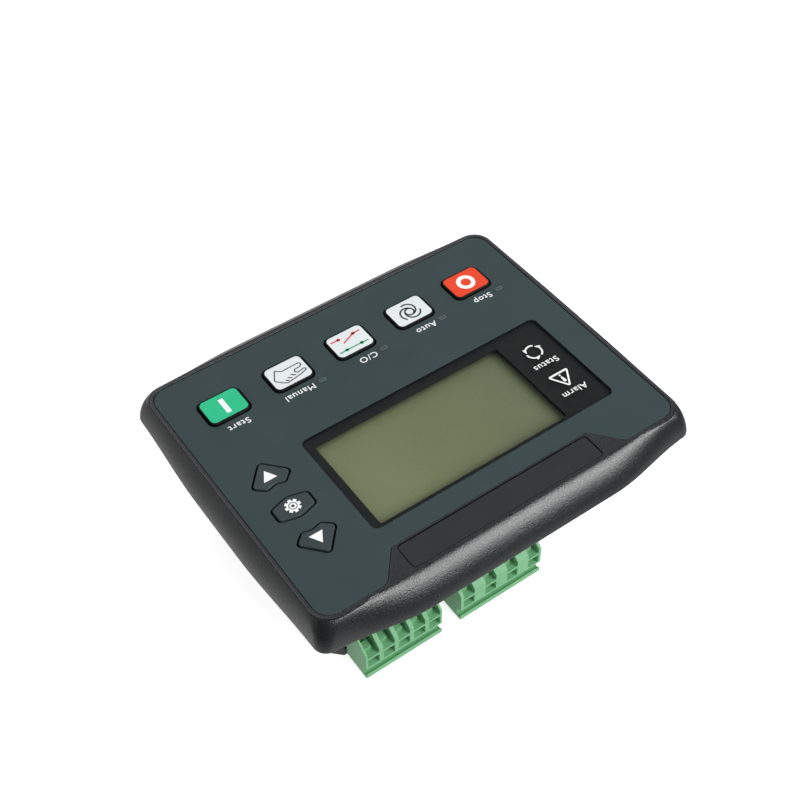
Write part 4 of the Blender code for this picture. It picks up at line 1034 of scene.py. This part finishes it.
WALL_SIDE = (-0.47, -0.883, 0.0)
OPEN_SIDE = (0.834, -0.552, 0.0)
CAMERA_PLACE = (0.13744, 0.19952, 0.31579)
CAMERA_LOOK = (-0.37043, -0.55152, -0.7474)
CAMERA_ROLL = -1.708
FLOOR_HALF = 6.0
FLOOR_GLOW = 0.75


def floor():
    """Pale and plain; reflections see it fade into a dark room some way off."""
    look = Look("floor", 0.9, 0.1)
    look.colour(look.ramp(look.noise(3.0), [(0.3, (0.86, 0.86, 0.86)), (0.7, (0.88, 0.88, 0.88))]))
    path = look.node("ShaderNodeLightPath")
    glow = look.node("ShaderNodeEmission")
    look.link(look.math("MULTIPLY", path.outputs["Is Camera Ray"], FLOOR_GLOW),
              glow.inputs["Strength"])
    seen = look.node("ShaderNodeAddShader")
    look.link(look.shader.outputs["BSDF"], seen.inputs[0])
    look.link(glow.outputs["Emission"], seen.inputs[1])
    far = look.node("ShaderNodeVectorMath", operation="LENGTH")
    look.link(look.coordinates, far.inputs[0])

    def towards(direction):
        """How far to one side a point lies, as a share of its distance."""
        dot = look.node("ShaderNodeVectorMath", operation="DOT_PRODUCT")
        dot.inputs[1].default_value = direction
        look.link(look.coordinates, dot.inputs[0])
        return look.math("DIVIDE", dot.outputs["Value"], far.outputs["Value"])

    around = look.math("MAXIMUM", look.range(towards(WALL_SIDE), 0.0, 0.9, 0.35, 0.75),
                       look.range(towards(OPEN_SIDE), 0.0, 0.38, 0.6, 0.9))
    near = look.range(far.outputs["Value"], 0.8, 0.02, 0.085, 0.165)
    mirrored = look.node("ShaderNodeEmission")
    look.link(look.math("MAXIMUM", near, around), mirrored.inputs["Strength"])
    either = look.node("ShaderNodeMixShader")
    look.link(path.outputs["Is Glossy Ray"], either.inputs["Fac"])
    look.link(seen.outputs["Shader"], either.inputs[1])
    look.link(mirrored.outputs["Emission"], either.inputs[2])
    look.link(either.outputs["Shader"], look.tree.nodes["Material Output"].inputs["Surface"])
    data = bpy.data.meshes.new("floor")
    corners = [(x, y, 0) for x, y in rectangle((2 * FLOOR_HALF, 2 * FLOOR_HALF))]
    data.from_pydata(corners, [], [(0, 1, 2, 3)])
    data.materials.append(look.material)
    added("floor", data)


def sky():
    """White to the camera; reflections see a dark studio, a pale wall and a panel overhead."""
    world = bpy.data.worlds.new("studio")
    bpy.context.scene.world = world
    world.use_nodes = True
    tree = world.node_tree
    tree.nodes.clear()

    def node(kind, **values):
        item = tree.nodes.new(kind)
        for key, value in values.items():
            setattr(item, key, value)
        return item

    def spread(source, start, end, low, high):
        item = node("ShaderNodeMapRange", interpolation_type="SMOOTHSTEP")
        for key, value in zip(RANGE_INPUTS, (start, end, low, high)):
            item.inputs[key].default_value = value
        tree.links.new(source, item.inputs["Value"])
        return item.outputs["Result"]

    def combined(operation, first, second):
        item = node("ShaderNodeMath", operation=operation)
        for index, source in enumerate((first, second)):
            tree.links.new(source, item.inputs[index])
        return item.outputs["Value"]

    def facing(direction):
        item = node("ShaderNodeVectorMath", operation="DOT_PRODUCT")
        item.inputs[1].default_value = direction
        tree.links.new(sphere, item.inputs[0])
        return item.outputs["Value"]

    def white(strength):
        item = node("ShaderNodeBackground")
        item.inputs["Color"].default_value = (1.0, 1.0, 1.0, 1.0)
        item.inputs["Strength"].default_value = strength
        return item

    def mixed(share, first, second):
        item = node("ShaderNodeMixShader")
        for index, source in enumerate((share, first, second)):
            tree.links.new(source, item.inputs[index])
        return item.outputs["Shader"]

    sphere = node("ShaderNodeTexCoord").outputs["Generated"]
    wall = spread(facing(WALL_SIDE), 0.35, 0.75, 0.05, 1.0)
    split = node("ShaderNodeSeparateXYZ")
    tree.links.new(sphere, split.inputs["Vector"])
    glossy = combined("MULTIPLY", wall, spread(split.outputs["Z"], 0.46, 0.74, 1.0, 0.12))
    for aim, start, end, strength in (((0.23, -0.41, 0.883), 0.86, 0.97, 1.0),
                                      ((0.82, -0.54, 0.19), 0.66, 0.95, 0.38)):
        glossy = combined("MAXIMUM", glossy, spread(facing(aim), start, end, 0.0, strength))

    path = node("ShaderNodeLightPath").outputs
    seen = combined("MAXIMUM", path["Is Camera Ray"], path["Is Transmission Ray"])
    room = white(1.0)
    tree.links.new(glossy, room.inputs["Strength"])
    ambient = white(0.55)
    lit = mixed(path["Is Glossy Ray"], ambient.outputs["Background"], room.outputs["Background"])
    output = node("ShaderNodeOutputWorld")
    tree.links.new(mixed(seen, lit, white(1.0).outputs["Background"]), output.inputs["Surface"])


def softbox(name, place_at, target, size, radiance):
    data = bpy.data.lights.new(name, "AREA")
    data.shape = "RECTANGLE"
    data.size, data.size_y = size
    data.energy = radiance * 4 * size[0] * size[1]
    item = added(name, data)
    item.location = place_at
    item.rotation_euler = (Vector(target) - Vector(place_at)).to_track_quat("-Z", "Y").to_euler()


def camera():
    data = bpy.data.cameras.new("camera")
    data.lens = 58.325
    data.sensor_width = 36.0
    data.clip_start = 0.01
    forward = Vector(CAMERA_LOOK).normalized()
    flat_right = forward.cross(Vector((0, 0, 1))).normalized()
    flat_up = flat_right.cross(forward)
    roll = math.radians(CAMERA_ROLL)
    right = math.cos(roll) * flat_right + math.sin(roll) * flat_up
    up = right.cross(forward)
    turn = Matrix((right, up, -forward)).transposed().to_4x4()
    item = added("camera", data)
    item.matrix_world = Matrix.Translation(CAMERA_PLACE) @ turn
    bpy.context.scene.camera = item


floor()
sky()
softbox("overhead", (-0.38, 0.64, 0.60), (0.0, 0.02, 0.04), (0.80, 0.60), 4.6)
camera()
bpy.context.scene.view_settings.view_transform = "Standard"
